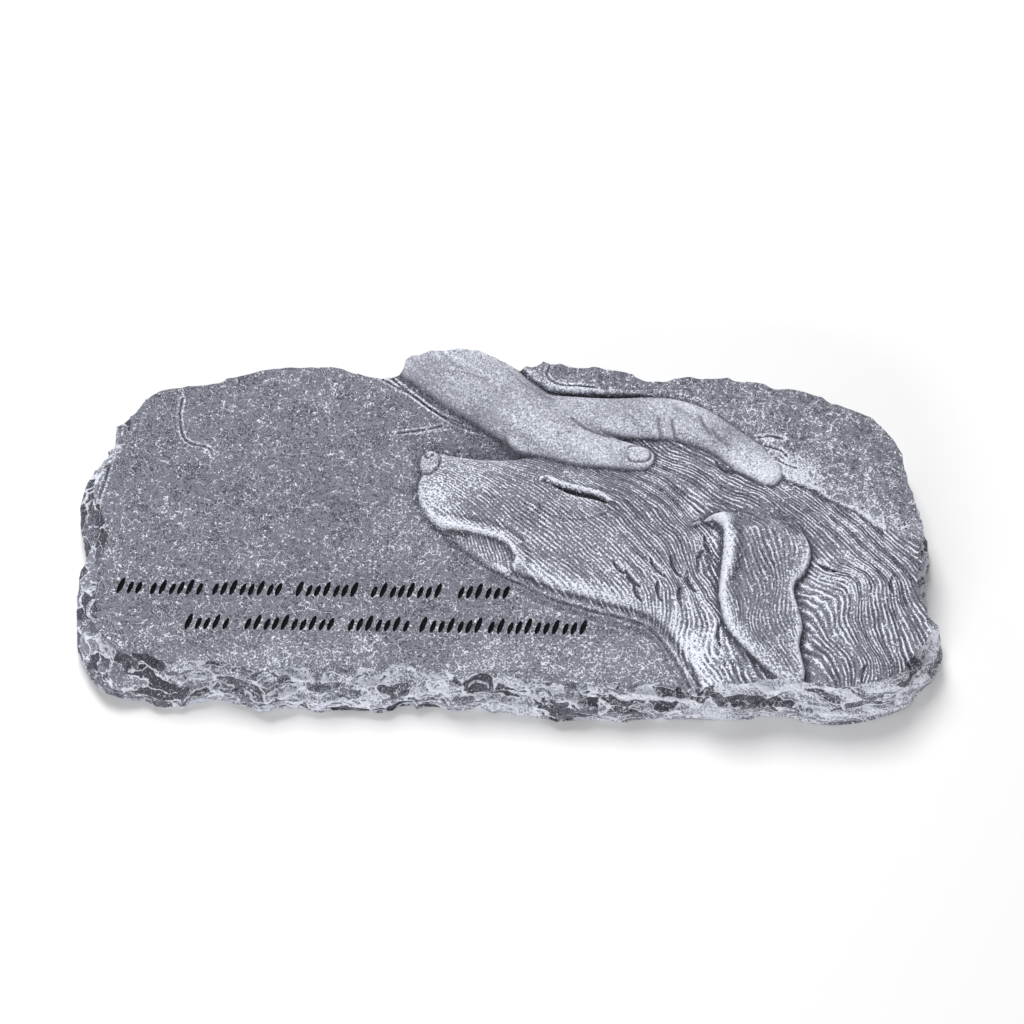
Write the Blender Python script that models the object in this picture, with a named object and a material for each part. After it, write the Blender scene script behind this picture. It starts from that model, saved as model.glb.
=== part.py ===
# Pet memorial stone: one cast slab with broken edges that lies flat on the ground.
# Its top carries, in low relief, a sleeping dog's head and a hand that strokes it, with a
# ledge of rough rock behind them and two rows of shallow strokes on the plain panel beside them.
# The stone lies in the XY plane, its length along X, with the underside at z = 0.

import math

import bmesh
import bpy
import numpy as np
from mathutils import Matrix, Vector, noise

# Driving sizes, in metres
STONE_LENGTH = 0.285
STONE_WIDTH = 0.1285
PANEL_HEIGHT = 0.018
HAND_RISE = 0.0092
HEAD_RISE = 0.0062
EAR_RISE = 0.0080
LEDGE_RISE = 0.0062
HOLLOW_DEPTH = 0.0013
EYELID_RISE = 0.0010
EYE_SLIT_DEPTH = 0.0010
LIP_STEP = 0.0023
LOCK_SPACING = 0.0050
LOCK_DEPTH = 0.0010
GOUGE_DEPTH = 0.0020
NAIL_STEP = 0.0006
CHIP_DEPTH = 0.0022
PANEL_WAVE = 0.00035
STROKE_HEIGHT = 0.0062
STROKE_WIDTH = 0.0015
STROKE_DEPTH = 0.0007
STROKE_PITCH = 0.0043
STROKE_LEAN = math.radians(20.0)
ROW_SLOPE = math.radians(-0.9)

# Fineness of the model
GRID_STEP = 0.0008
SIDE_RINGS = 12
FACETS = 7600

# The drawing below is in millimetres, seen from above, on a stone of this size.
# It is stretched with the real length and width.
DRAWN_LENGTH = 285.0
DRAWN_WIDTH = 128.5
DRAWN_CENTRE = (-2.5, 0.0)
MM = 0.001

# Broken upper edge of the slab: x, y, and how far the foot stands out beyond it
RIM = [
    (-127, -45, 9.5), (-112, -50, 9.3), (-95, -50.5, 6.5), (-75, -52.5, 7), (-50, -53, 7.8),
    (-32, -52, 7.3), (-14, -55, 5), (5, -57.5, 6), (35, -57.5, 5.3), (62, -60, 3.2),
    (80, -59, 4), (98, -60, 4.8), (113, -58.5, 4.8), (125, -52, 6), (132, -42, 6.5),
    (132, -32, 5.5), (131, -25, 4.5), (132, -8, 4.8), (130, 10, 4.8), (127.5, 24, 4),
    (120.5, 36, 3), (102, 45.5, 3), (88, 48.5, 3), (78, 52, 2), (46, 51.5, 3), (34, 55.5, 2.5),
    (12, 60, 2), (1, 58, 3), (-13, 62.3, 2), (-34, 61.2, 2), (-44, 57.5, 3), (-70, 60.5, 2.5),
    (-100, 55.7, 3), (-118, 52.5, 3), (-127.5, 43, 6), (-132, 30, 8), (-136.5, 13, 8.5),
    (-134, -4, 9), (-136, -18, 8.7), (-134, -34, 8.5),
]
# Profile of the broken side: share of the way down the rings, share of the flare, share of height
SIDE_PROFILE = [
    (0.0, 0.0, 1.0), (0.12, 0.12, 0.88), (0.38, 0.55, 0.58), (0.52, 0.92, 0.42), (0.66, 1.0, 0.33),
    (0.86, 0.98, 0.1), (1.0, 0.93, 0.0),
]

# Head and neck of the dog, which run on past the stone's edge behind and below
DOG = [
    (-29, 25.8), (-25, 26), (-20, 25), (-10, 22.8), (0, 21.8), (10, 21.8), (22, 26), (40, 42),
    (80, 46), (150, 40), (150, -90), (62, -90), (59, -70), (53, -53), (45, -39.5), (38, -35),
    (26, -31.5), (13, -27.5), (3, -22.5), (-5, -18.5), (-12, -14), (-18, -9), (-26, -1),
    (-29.5, 3.5), (-31.3, 9), (-31.5, 15), (-30.5, 24.5),
]
LIP = [
    (-33, 4), (-29.5, 0.8), (-25, -2), (-20, -3.4), (-12, -5.4), (-6, -7.4), (-2.6, -9.4), (-0.9, -12),
    (0, -15),
]
JAW = LIP + [(-4, -21), (-14, -18), (-26, -10), (-32, 0)]
EYE_SLIT = [(9.5, 13.2), (13, 11), (18, 9), (24, 7.8), (28, 6.8), (30.5, 4.6)]
NOSTRIL = [(-29.6, 22), (-28.6, 24), (-27.4, 25)]
EAR = [
    (57, -3.2), (60, -1.6), (64, -2), (67, -5), (66.8, -12), (65, -26), (65.3, -33), (67, -40),
    (71, -46), (81, -56.5), (86, -58.8), (90, -58.5), (91, -55.5), (89.6, -47), (91, -40),
    (89, -29), (89.6, -24.5), (93, -20), (95, -14), (93.5, -7), (90.5, -1), (86, 2.5), (80, 3.5),
    (66, 0.5),
]
# Ledge of rough rock behind the head, which runs on past the stone's edge
LEDGE = [
    (86, 15.5), (89, 12.5), (97, 9.2), (101, 6), (110, 1.3), (118, -5), (131, -10), (150, -14),
    (160, 90), (20, 90), (3, 66), (2.5, 57), (6, 55), (10, 53.2), (10.5, 50.5), (13, 47.5),
    (19, 45.2), (40, 44.8), (50, 42), (60, 38), (70, 32), (78, 24),
]
# Limbs of the hand: x, y, half width, and the crown and foot as shares of the hand's rise
ARM = [
    (-37, 78, 22, 0.82, 0.0), (-21.5, 58, 18.5, 0.88, 0.0), (-6, 43.5, 15, 0.92, 0.0), (9, 35, 12, 0.9, 0.1),
    (20, 33, 10, 0.8, 0.2),
]
FINGER = [
    (8, 38, 9, 0.78, 0.3), (30, 36.8, 8.2, 0.95, 0.33), (48, 36.8, 8.2, 1.0, 0.38), (59, 34.2, 7.6, 0.99, 0.38),
    (67, 29.5, 7, 0.93, 0.33), (76, 22.5, 6.8, 0.87, 0.33), (82.5, 16.8, 5.4, 0.8, 0.33),
]
THUMB = [
    (6, 34, 10, 0.87, 0.2), (20, 27.3, 8.6, 0.94, 0.33), (32, 23.3, 5.9, 0.92, 0.43),
    (41, 21.3, 4.7, 0.9, 0.49),
]
# Thumbnail: x, y, half length and half width
THUMBNAIL = (41.0, 23.0, 3.6, 2.9)

# Lie of the fur: x, y and its heading in degrees from +X
HEAD_FUR = [
    (-25, 20, -15), (0, 18, -15), (-22, 8, -40), (-22, 2, -50), (5, 5, -50), (5, -12, -50),
    (25, -8, -56), (38, 18, -20), (52, 18, -34), (64, 14, -48), (50, 3, -55), (15, -22, -38),
    (32, -24, -50), (44, -22, -68), (47, -35, -80), (54, -15, -92), (58, -32, -98), (60, -52, -82),
    (96, -3, -60), (105, -12, -62), (99, -24, -25), (110, -27, -45), (119, -35, -90), (114, -46, -115),
    (126, -18, -35), (131, -32, -50), (100, -52, -50), (124, -54, -80),
]
EAR_FUR = [
    (64, -4, -60), (78, -2, -62), (88, 0, -75), (72, -14, -82), (86, -14, -88), (70, -32, -98),
    (84, -32, -98), (76, -45, -76), (86, -48, -78),
]
# Where locks are carved: least x, y and greatest x, y
HEAD_FUR_BOX = (30, -62, 134, 24)
EAR_FUR_BOX = (58, -60, 96, 4)
# Deep crescent cuts between the locks: x, y, heading and length
GOUGES = [
    (67, 18, -50, 8), (73, 8, -45, 7), (49, -20, -75, 9), (55, 0, -60, 7), (63, -39, -95, 10),
    (59, -48, -85, 9), (104, -50, -55, 12), (98, -18, -40, 8), (118, -30, -70, 9),
]

# Groups of strokes, as the words of two lines stand: first x, y of the foot, number of strokes
STROKE_GROUPS = [
    (-126, -26.0, 2), (-116, -26.2, 4), (-96.5, -26.5, 6), (-69.5, -26.9, 5), (-45.5, -27.3, 6),
    (-17.5, -27.7, 4), (-104.5, -38.6, 4), (-85.5, -38.9, 7), (-52.5, -39.4, 5), (-29.5, -39.8, 5),
    (-7.5, -40.2, 8),
]
# Rise and fall of successive strokes, as shares of the stroke height
STROKE_RHYTHM = [1.35, 0.9, 1.0, 0.85, 1.3, 0.95]


def curve(points, closed):
    """Smooth line through the drawn points."""
    steps = 5
    rows = np.array(points, float)
    count = len(rows)
    index = np.arange(count if closed else count - 1)

    def row(k):
        return rows[k % count] if closed else rows[np.clip(k, 0, count - 1)]

    t = np.linspace(0, 1, steps, endpoint=False)[None, :, None]
    before, start, end, after = (row(index + k)[:, None] for k in (-1, 0, 1, 2))
    bend = 2 * before - 5 * start + 4 * end - after + t * (3 * (start - end) + after - before)
    line = (start + 0.5 * t * (end - before + t * bend)).reshape(-1, rows.shape[1])
    return line if closed else np.vstack([line, rows[-1:]])


def distance(x, y, line, closed=False):
    """Distance to a drawn line, and the place along it in points."""
    best = np.full(x.shape, 1e9)
    place = np.zeros(x.shape)
    ends = np.roll(line, -1, 0) if closed else line[1:]
    for k, end in enumerate(ends):
        ax, ay = line[k][:2]
        dx, dy = end[0] - ax, end[1] - ay
        t = np.clip(((x - ax) * dx + (y - ay) * dy) / (dx * dx + dy * dy + 1e-12), 0, 1)
        d = np.hypot(x - ax - t * dx, y - ay - t * dy)
        nearer = d < best
        best = np.where(nearer, d, best)
        place = np.where(nearer, k + t, place)
    return best, place


def depth_inside(x, y, points):
    """Distance inwards from a closed outline, negative outside it."""
    line = curve(points, True)
    within = np.zeros(x.shape, bool)
    for (ax, ay), (bx, by) in zip(line, np.roll(line, -1, 0)):
        if ay != by:
            within ^= ((ay > y) != (by > y)) & (x < (bx - ax) * (y - ay) / (by - ay) + ax)
    best, _ = distance(x, y, line, True)
    return np.where(within, best, -best)


def ease(t):
    """Smooth step from 0 to 1."""
    t = np.clip(t, 0, 1)
    return t * t * (3 - 2 * t)


def shoulder(depth, width):
    """Quarter round from an edge up to full height."""
    t = 1 - np.clip(depth / width, 0, 1)
    return np.sqrt(1 - t * t)


def swell(x, y, cx, cy, rx, ry, turn=0.0):
    """Soft oval mound of height 1."""
    c, s = math.cos(math.radians(turn)), math.sin(math.radians(turn))
    u, v = (x - cx) * c + (y - cy) * s, (y - cy) * c - (x - cx) * s
    return np.exp(-(u / rx) ** 2 - (v / ry) ** 2)


def merge(a, b, width):
    """Higher of two heights, with the valley between them rounded."""
    h = np.clip(0.5 + 0.5 * (a - b) / width, 0, 1)
    return b + (a - b) * h + width * h * (1 - h)


def limb(x, y, rows, roundness):
    """Height of a rounded limb along its middle line, as a share of the hand's rise."""
    path = curve(rows, False)
    d, place = distance(x, y, path)
    half_width, crown, foot = (np.interp(place, np.arange(len(path)), path[:, k]) for k in (2, 3, 4))
    t = d / half_width
    arch = foot + (crown - foot) * np.maximum(0, 1 - t ** roundness) ** (1 / roundness)
    return np.where(t < 1, arch, foot - 1.5 * (t - 1))


def heading(x, y, rows):
    """Direction of the fur at a point, blended from the nearest drawn headings."""
    guide = np.array(rows, float)
    weight = 1 / ((guide[:, 0] - x) ** 2 + (guide[:, 1] - y) ** 2 + 4.0) ** 1.5
    angle = np.radians(guide[:, 2])
    return math.atan2(float(weight @ np.sin(angle)), float(weight @ np.cos(angle)))


def lock_lines(rows, outline, box, spacing):
    """Evenly spaced lines that follow the fur inside an outline, each ended where it nears another."""
    step = 1.5
    longest = 16
    lines = []
    taken = np.full((1, 2), 1e6)
    for sy in np.arange(box[1], box[3], spacing * 0.7):
        for sx in np.arange(box[0], box[2], spacing * 0.7):
            if np.hypot(*(taken - (sx, sy)).T).min() < spacing:
                continue
            halves = []
            for way in (-1, 1):
                px, py = sx, sy
                half = []
                for _ in range(longest):
                    angle = heading(px, py, rows)
                    px, py = px + way * step * math.cos(angle), py + way * step * math.sin(angle)
                    if np.hypot(*(taken - (px, py)).T).min() < 0.6 * spacing:
                        break
                    half.append((px, py))
                halves.append(half)
            line = np.array(halves[0][::-1] + [(sx, sy)] + halves[1])
            line = line[depth_inside(line[:, 0], line[:, 1], outline) > 1.5]
            if len(line) > 4:
                lines.append(line)
                taken = np.vstack([taken, line])
    return lines


def grooves(x, y, lines, width):
    """Depth, from 0 to 1, of rounded grooves along lines, fading out at their ends."""
    depth = np.zeros(x.shape)
    for line in lines:
        reach = 3 * width
        low, high = line.min(0) - reach, line.max(0) + reach
        near = (x > low[0]) & (x < high[0]) & (y > low[1]) & (y < high[1])
        d, place = distance(x[near], y[near], line)
        fade = np.clip(np.minimum(place, len(line) - 1 - place) / 2.5, 0, 1)
        depth[near] = np.maximum(depth[near], fade * np.exp(-(d / width) ** 2))
    return depth


def gouge_lines(rows):
    """Short curved cuts between the locks."""
    lines = []
    for gx, gy, angle, length in rows:
        a = math.radians(angle)
        along, across = np.array([math.cos(a), math.sin(a)]), np.array([-math.sin(a), math.cos(a)])
        t = np.linspace(-1, 1, 7)[:, None]
        lines.append(np.array([gx, gy]) + 0.5 * length * t * along + 0.12 * length * t * t * across)
    return lines


def dog_height(x, y):
    """Height of the dog's head, neck and shoulder above the panel, and the depth inside its outline."""
    depth = depth_inside(x, y, DOG)
    bulk = HEAD_RISE * (0.68 + 0.23 * swell(x, y, -8, 10, 22, 12, -15) + 0.32 * swell(x, y, 28, -6, 20, 14, -20)
                        + 0.26 * swell(x, y, 48, 14, 16, 12) - 0.13 * swell(x, y, 2, 16, 6, 6)
                        + 0.16 * swell(x, y, 112, -30, 14, 22) + 0.10 * swell(x, y, 55, -30, 10, 20))
    height = bulk * shoulder(depth, 6.5 + 3.0 * ease(x / 30))
    lids = swell(x, y, 20, 14, 10.5, 5, -16) + 0.7 * swell(x, y, 21, 3.2, 10, 4.4, -12)
    slit, _ = distance(x, y, curve(EYE_SLIT, False))
    nostril, _ = distance(x, y, curve(NOSTRIL, False))
    height = height + EYELID_RISE * lids - EYE_SLIT_DEPTH * np.exp(-(slit / 0.9) ** 2)
    height = height - 0.8 * EYE_SLIT_DEPTH * np.exp(-(nostril / 0.8) ** 2)
    below_lip = depth_inside(x, y, JAW)
    lip, _ = distance(x, y, curve(LIP, False))
    height = height - LIP_STEP * ease(below_lip / 0.8)
    height = height + np.where(below_lip < 0, 0.3 * LIP_STEP * np.exp(-(lip / 2.2) ** 2), 0)
    return height, depth


def ear_height(x, y):
    """Height of the hanging ear above the panel, and the depth inside its outline."""
    depth = depth_inside(x, y, EAR)
    curl = np.exp(-((depth - 1.8) / 1.8) ** 2) * ease(-y / 3) * ease((74 - x) / 6) * ease((y + 32) / 18)
    height = 0.62 + (0.35 + 0.06 * np.sin((y + 10) / 9)) * shoulder(depth, 4.5) + 0.15 * curl
    height = height - 0.06 * swell(x, y, 79, -25, 6, 20) - 0.15 * ease((-y - 44) / 16)
    return EAR_RISE * height, depth


def hand_height(x, y):
    """Height of the wrist, thumb and finger above the panel."""
    arm = limb(x, y, ARM, 2.8)
    thumb = limb(x, y, THUMB, 2.2)
    finger = limb(x, y, FINGER, 2.2)
    hand = HAND_RISE * merge(merge(arm, thumb, 0.17), finger, 0.11)
    nail_x, nail_y, nail_length, nail_width = THUMBNAIL
    nail = np.hypot((x - nail_x) / nail_length, (y - nail_y) / nail_width)
    return hand - NAIL_STEP * np.exp(-((nail - 1) / 0.22) ** 2) * (hand > 0.3 * HAND_RISE)


def panel_wave(x, y):
    """Slight unevenness of the plain panel."""
    return PANEL_WAVE * np.sin(x / 23 + 1) * np.cos(y / 17)


def relief(x, y):
    """Height of the carving above the panel, in metres, at drawn points in millimetres."""
    dog, in_dog = dog_height(x, y)
    ear, in_ear = ear_height(x, y)
    locks = LOCK_SPACING / MM
    head_locks = lock_lines(HEAD_FUR, DOG, HEAD_FUR_BOX, locks)
    ear_locks = lock_lines(EAR_FUR, EAR, EAR_FUR_BOX, 0.8 * locks)
    ground = panel_wave(x, y) - HOLLOW_DEPTH * np.exp(-np.maximum(-in_dog, 0) ** 2 / 30)
    locks_on_head = ease((x - 28) / 14) * LOCK_DEPTH * grooves(x, y, head_locks, 1.1)
    dog = dog - locks_on_head - GOUGE_DEPTH * grooves(x, y, gouge_lines(GOUGES), 1.5)
    height = np.where(in_dog > 0, np.maximum(dog, ground - 0.0005), ground)
    ear = ear - LOCK_DEPTH * grooves(x, y, ear_locks, 0.9)
    height = np.where(in_ear > 0, np.maximum(height, ear), height)
    beside_ear = np.exp(-(np.maximum(-in_ear, 0) / 2) ** 2) * ease((2 - y) / 8)
    hollow = 1.4 * swell(x, y, 62.5, -11, 3, 7.5, 8) + 0.6 * beside_ear
    height = height - np.where(in_ear < 0, HOLLOW_DEPTH * hollow * (in_dog > 0), 0)
    in_ledge = depth_inside(x, y, LEDGE)
    ledge = LEDGE_RISE * (1 - 0.00007 * np.maximum(x - 60, 0) ** 2 - 0.1 * ease((y - 40) / 14))
    height = np.where(in_ledge > 0, np.maximum(height, ledge * (0.5 + 0.5 * ease(in_ledge / 1.2))), height)
    return np.maximum(height, hand_height(x, y))


def place(x, y):
    """Drawn millimetres to real metres."""
    middle_x, middle_y = DRAWN_CENTRE
    return (x - middle_x) * STONE_LENGTH / DRAWN_LENGTH, (y - middle_y) * STONE_WIDTH / DRAWN_WIDTH


def rim_by_angle(angle, half_length, half_width):
    """Rim point, flare and outward direction where a ray at each angle of the squared plan meets the rim."""
    line = curve(RIM, True)
    tangent = np.roll(line, -1, 0) - np.roll(line, 1, 0)
    outward = np.stack([tangent[:, 1], -tangent[:, 0]], 1)
    outward /= np.linalg.norm(outward, axis=1, keepdims=True)
    around = np.arctan2(line[:, 1] / half_width, line[:, 0] / half_length)
    order = np.argsort(around)
    columns = np.column_stack([line, outward])[order]
    return [np.interp(angle, around[order], columns[:, k], period=2 * math.pi) for k in range(5)]


def chips(x, y, z):
    """Broken facets of the side: rough offsets, in shares of the chip depth."""
    rough = []
    for point in zip(x, y, z):
        large = Vector(point) * 0.11
        small = Vector(point) * 0.25
        rough.append(noise.noise(large) + 0.5 * noise.noise(small))
    return np.array(rough)


def slab_surface():
    """Open mesh of the top and the broken side, whose last ring is the foot."""
    half_length, half_width = DRAWN_LENGTH / 2, DRAWN_WIDTH / 2
    top_x, top_y = round(STONE_LENGTH / GRID_STEP / 2), round(STONE_WIDTH / GRID_STEP / 2)
    cells_x, cells_y = 2 * (top_x + SIDE_RINGS), 2 * (top_y + SIDE_RINGS)
    bm = bmesh.new()
    bmesh.ops.create_grid(bm, x_segments=cells_x, y_segments=cells_y, size=1)
    flat = np.array([v.co[:2] for v in bm.verts])
    across, along = np.round(flat[:, 0] * cells_x / 2), np.round(flat[:, 1] * cells_y / 2)
    ring = np.maximum(0, np.maximum(np.abs(across) - top_x, np.abs(along) - top_y))
    a, b = across / (top_x + ring), along / (top_y + ring)
    reach = np.maximum(np.abs(a), np.abs(b))
    rim_x, rim_y, flare, out_x, out_y = rim_by_angle(np.arctan2(b, a), half_length, half_width)
    edge_share = np.where(reach > 0, reach, 1)
    pull = reach ** 4
    x = a * half_length + (rim_x - a / edge_share * half_length) * pull
    y = b * half_width + (rim_y - b / edge_share * half_width) * pull
    top = PANEL_HEIGHT + relief(x, y)
    down = ring / SIDE_RINGS
    profile = np.array(SIDE_PROFILE)
    out = flare * np.interp(down, profile[:, 0], profile[:, 1])
    z = top * np.interp(down, profile[:, 0], profile[:, 2])
    rough = CHIP_DEPTH / MM * chips(x + out * out_x, y + out * out_y, 1.7 * z / MM)
    out = out + rough * np.sin(math.pi * down)
    px, py = place(x + out * out_x, y + out * out_y)
    for vert, *point in zip(bm.verts, px, py, z):
        vert.co = point
    return bm


def thinned(bm):
    """The same surface with the triangles spent where the form bends."""
    mesh = bpy.data.meshes.new("fine_surface")
    bm.to_mesh(mesh)
    fine = bpy.data.objects.new("fine_surface", mesh)
    bpy.context.scene.collection.objects.link(fine)
    thin = fine.modifiers.new("Thin", 'DECIMATE')
    thin.ratio = FACETS / (2 * len(mesh.polygons))
    evaluated = fine.evaluated_get(bpy.context.evaluated_depsgraph_get())
    result = bpy.data.meshes.new_from_object(evaluated)
    bpy.data.objects.remove(fine)
    bm.clear()
    bm.from_mesh(result)
    return bm


def close_underside(bm):
    """Flat underside across the foot ring."""
    foot = [edge for edge in bm.edges if edge.is_boundary]
    for edge in foot:
        for vert in edge.verts:
            vert.co.z = 0.0
    bmesh.ops.holes_fill(bm, edges=foot, sides=0)
    bmesh.ops.triangulate(bm, faces=bm.faces[:])
    bmesh.ops.recalc_face_normals(bm, faces=bm.faces[:])


def centre(bm):
    """Stretch and move the slab so that it has its stated length and width about the origin."""
    points = np.array([v.co[:] for v in bm.verts])
    low, high = points.min(0), points.max(0)
    middle = (low + high) / 2
    scale_x, scale_y = STONE_LENGTH / (high[0] - low[0]), STONE_WIDTH / (high[1] - low[1])
    for vert in bm.verts:
        vert.co.x = (vert.co.x - middle[0]) * scale_x
        vert.co.y = (vert.co.y - middle[1]) * scale_y
    return middle


def stone_material():
    """Grey cast stone."""
    material = bpy.data.materials.new("cast_stone")
    material.use_nodes = True
    shader = material.node_tree.nodes["Principled BSDF"]
    shader.inputs["Base Color"].default_value = (0.27, 0.275, 0.31, 1.0)
    shader.inputs["Roughness"].default_value = 0.85
    shader.inputs["Metallic"].default_value = 0.0
    return material


def stroke_cutter(middle):
    """Seed-shaped chisels, one for each stroke, leaning as slanted writing does."""
    bm = bmesh.new()
    for start, foot, count in STROKE_GROUPS:
        for k in range(count):
            tall = STROKE_HEIGHT * STROKE_RHYTHM[(k + count) % len(STROKE_RHYTHM)]
            x, y = place(start, foot)
            x = x + k * STROKE_PITCH
            y = y + k * STROKE_PITCH * math.tan(ROW_SLOPE) + tall / 2
            shape = Matrix.Diagonal((STROKE_WIDTH / 2, STROKE_DEPTH, tall / 2, 1))
            upright = Matrix.Rotation(math.radians(-90), 4, 'X')
            turn = Matrix.Rotation(-STROKE_LEAN, 4, 'Z')
            lift = Matrix.Translation((x - middle[0], y - middle[1], PANEL_HEIGHT + panel_wave(start, foot)))
            chisel = lift @ turn @ upright @ shape
            bmesh.ops.create_uvsphere(bm, u_segments=4, v_segments=4, radius=1, matrix=chisel)
    mesh = bpy.data.meshes.new("stroke_cutter")
    bm.to_mesh(mesh)
    bm.free()
    cutter = bpy.data.objects.new("stroke_cutter", mesh)
    cutter.hide_render = True
    cutter.display_type = 'WIRE'
    return cutter


def build():
    for old in list(bpy.context.scene.objects):
        bpy.data.objects.remove(old, do_unlink=True)
    parts = bpy.data.collections.new("pet_memorial_stone")
    cutters = bpy.data.collections.new("cutters")
    for collection in (parts, cutters):
        bpy.context.scene.collection.children.link(collection)

    bm = thinned(slab_surface())
    close_underside(bm)
    middle = centre(bm)
    mesh = bpy.data.meshes.new("memorial_stone")
    bm.to_mesh(mesh)
    bm.free()
    mesh.shade_smooth()
    mesh.set_sharp_from_angle(angle=math.radians(40))
    mesh.materials.append(stone_material())
    stone = bpy.data.objects.new("memorial_stone", mesh)
    parts.objects.link(stone)

    cutter = stroke_cutter(middle)
    cutters.objects.link(cutter)
    strokes = stone.modifiers.new("Strokes", 'BOOLEAN')
    strokes.operation = 'DIFFERENCE'
    strokes.object = cutter


build()
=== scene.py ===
# %% [markdown]
# Pet memorial stone. This is a small slab of cast stone that lies in a garden: a sleeping dog's
# head and a hand that strokes it stand out of a plain panel, and all four sides are broken rock.
# The notebook builds the finished surface round a plain solid that was made earlier and packed.
# Each step says what the piece is, how it could be made, and why this way was chosen.

import math

import bpy
import numpy as np
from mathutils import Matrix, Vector


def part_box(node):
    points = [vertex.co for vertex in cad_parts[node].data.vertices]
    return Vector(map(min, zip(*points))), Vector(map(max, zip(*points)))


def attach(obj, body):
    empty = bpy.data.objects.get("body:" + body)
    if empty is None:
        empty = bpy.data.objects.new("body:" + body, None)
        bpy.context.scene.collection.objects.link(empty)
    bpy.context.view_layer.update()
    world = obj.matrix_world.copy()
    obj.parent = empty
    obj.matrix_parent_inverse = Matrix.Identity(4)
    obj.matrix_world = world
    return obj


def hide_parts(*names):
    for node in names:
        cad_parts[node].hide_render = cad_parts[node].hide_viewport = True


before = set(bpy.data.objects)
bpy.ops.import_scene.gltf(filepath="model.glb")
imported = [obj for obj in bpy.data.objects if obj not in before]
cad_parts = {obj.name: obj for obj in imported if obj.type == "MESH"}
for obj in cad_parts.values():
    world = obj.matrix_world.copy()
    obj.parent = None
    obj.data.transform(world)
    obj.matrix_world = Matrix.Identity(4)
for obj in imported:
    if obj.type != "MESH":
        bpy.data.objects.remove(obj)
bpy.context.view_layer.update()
low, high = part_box("memorial_stone")
print("solid from", [round(v, 4) for v in low], "to", [round(v, 4) for v in high])

# %% [markdown]
# The stone was drawn in millimetres, seen from above, before anything was modelled. The drawing
# holds only outlines and a few centre lines. Every height in this notebook is also in millimetres,
# and the whole is brought to the solid's own size at the end, so it can't outgrow it.

# %% The drawing: outlines
PANEL_HEIGHT = 18.0
# Broken upper edge: x, y, and how far the foot stands out beyond it
RIM = [
    (-127, -45, 9.5), (-112, -50, 9.3), (-95, -50.5, 6.5), (-75, -52.5, 7), (-50, -53, 7.8),
    (-32, -52, 7.3), (-14, -55, 5), (5, -57.5, 6), (35, -57.5, 5.3), (62, -60, 3.2),
    (80, -59, 4), (98, -60, 4.8), (113, -58.5, 4.8), (125, -52, 6), (132, -42, 6.5),
    (132, -32, 5.5), (131, -25, 4.5), (132, -8, 4.8), (130, 10, 4.8), (127.5, 24, 4),
    (120.5, 36, 3), (102, 45.5, 3), (88, 48.5, 3), (78, 52, 2), (46, 51.5, 3), (34, 55.5, 2.5),
    (12, 60, 2), (1, 58, 3), (-13, 62.3, 2), (-34, 61.2, 2), (-44, 57.5, 3), (-70, 60.5, 2.5),
    (-100, 55.7, 3), (-118, 52.5, 3), (-127.5, 43, 6), (-132, 30, 8), (-136.5, 13, 8.5),
    (-134, -4, 9), (-136, -18, 8.7), (-134, -34, 8.5),
]
DOG = [
    (-28.6, 26.6), (-25.2, 25.9), (-20, 24.6), (-10, 23.2), (0, 23.4), (5, 25), (11, 28), (22, 33),
    (40, 42), (80, 46), (150, 40), (150, -90), (62, -90), (59, -70), (53, -53), (45, -39.5), (38, -35),
    (26, -31.5), (13, -27.5), (3, -22.5), (-5, -18.5), (-12, -14), (-18, -9), (-26, -1),
    (-29.8, 3.5), (-31.9, 9), (-32, 14), (-31.1, 17.5), (-31.6, 21), (-31, 24.8),
]
LIP = [
    (-33, 4), (-29.5, 0.8), (-25, -2), (-20, -3.4), (-12, -5.4), (-6, -7.4), (-2.6, -9.4),
    (-0.9, -12), (0, -15),
]
JAW = LIP + [(-4, -21), (-14, -18), (-26, -10), (-32, 0)]
EAR = [
    (57, -3.2), (60, -1.6), (64, -2), (67, -5), (66.8, -12), (65, -26), (65.3, -33), (67, -40),
    (71, -46), (81, -56.5), (86, -58.8), (90, -58.5), (91, -55.5), (89.6, -47), (91, -40),
    (89, -29), (89.6, -24.5), (93, -20), (95, -14), (93.5, -7), (90.5, -1), (86, 2.5), (80, 3.5),
    (66, 0.5),
]
LEDGE = [
    (86, 15.5), (89, 12.5), (97, 9.2), (101, 6), (110, 1.3), (118, -5), (131, -10), (150, -14),
    (160, 90), (20, 90), (2, 68), (0.3, 61), (1.2, 57.5), (4.8, 52.6), (10, 48.4), (16, 46.3),
    (27, 45.6), (40, 45), (50, 42), (60, 38), (70, 32), (78, 24),
]
EYE_SLIT = [(9.5, 13.4), (13, 11.4), (18, 9.2), (23.5, 7.7), (27, 6.7), (29.3, 5.2)]
NOSTRIL = [(-29.9, 24.9), (-29.6, 23.4), (-28.6, 22.6), (-27.4, 23.4)]
# Limbs of the hand: x, y, half width, crown and foot
ARM = [
    (-35.5, 79.3, 20.6, 7.6, -0.5), (-19.2, 60, 15.8, 8.1, -0.5), (-4.2, 45.2, 12.7, 8.5, -0.3),
    (9.5, 35.5, 11.7, 8.3, 1), (20, 33, 10, 7.4, 2),
]
FINGER = [
    (8, 38, 9, 7.2, 3), (30, 36.8, 8.2, 8.7, 3), (48, 36.8, 8.2, 9.2, 3.5),
    (59, 34.2, 7.6, 9.1, 3.5), (67, 29.5, 7, 8.6, 3), (76, 22.5, 6.8, 8.0, 3), (82.5, 16.8, 5.4, 7.4, 3),
]
THUMB = [
    (6, 34, 10, 8.0, 2), (20, 27.3, 8.6, 8.6, 3), (32, 23.3, 5.9, 8.5, 4), (41, 21.3, 4.7, 8.3, 4.5),
]
# Thumbnail: x and y of its middle, half length and half width
THUMBNAIL = (40.2, 22.1, 4.0, 3.1)
print("drawn outlines:", len(RIM), "rim points,", len(DOG), "for the head,", len(EAR), "for the ear")

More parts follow.
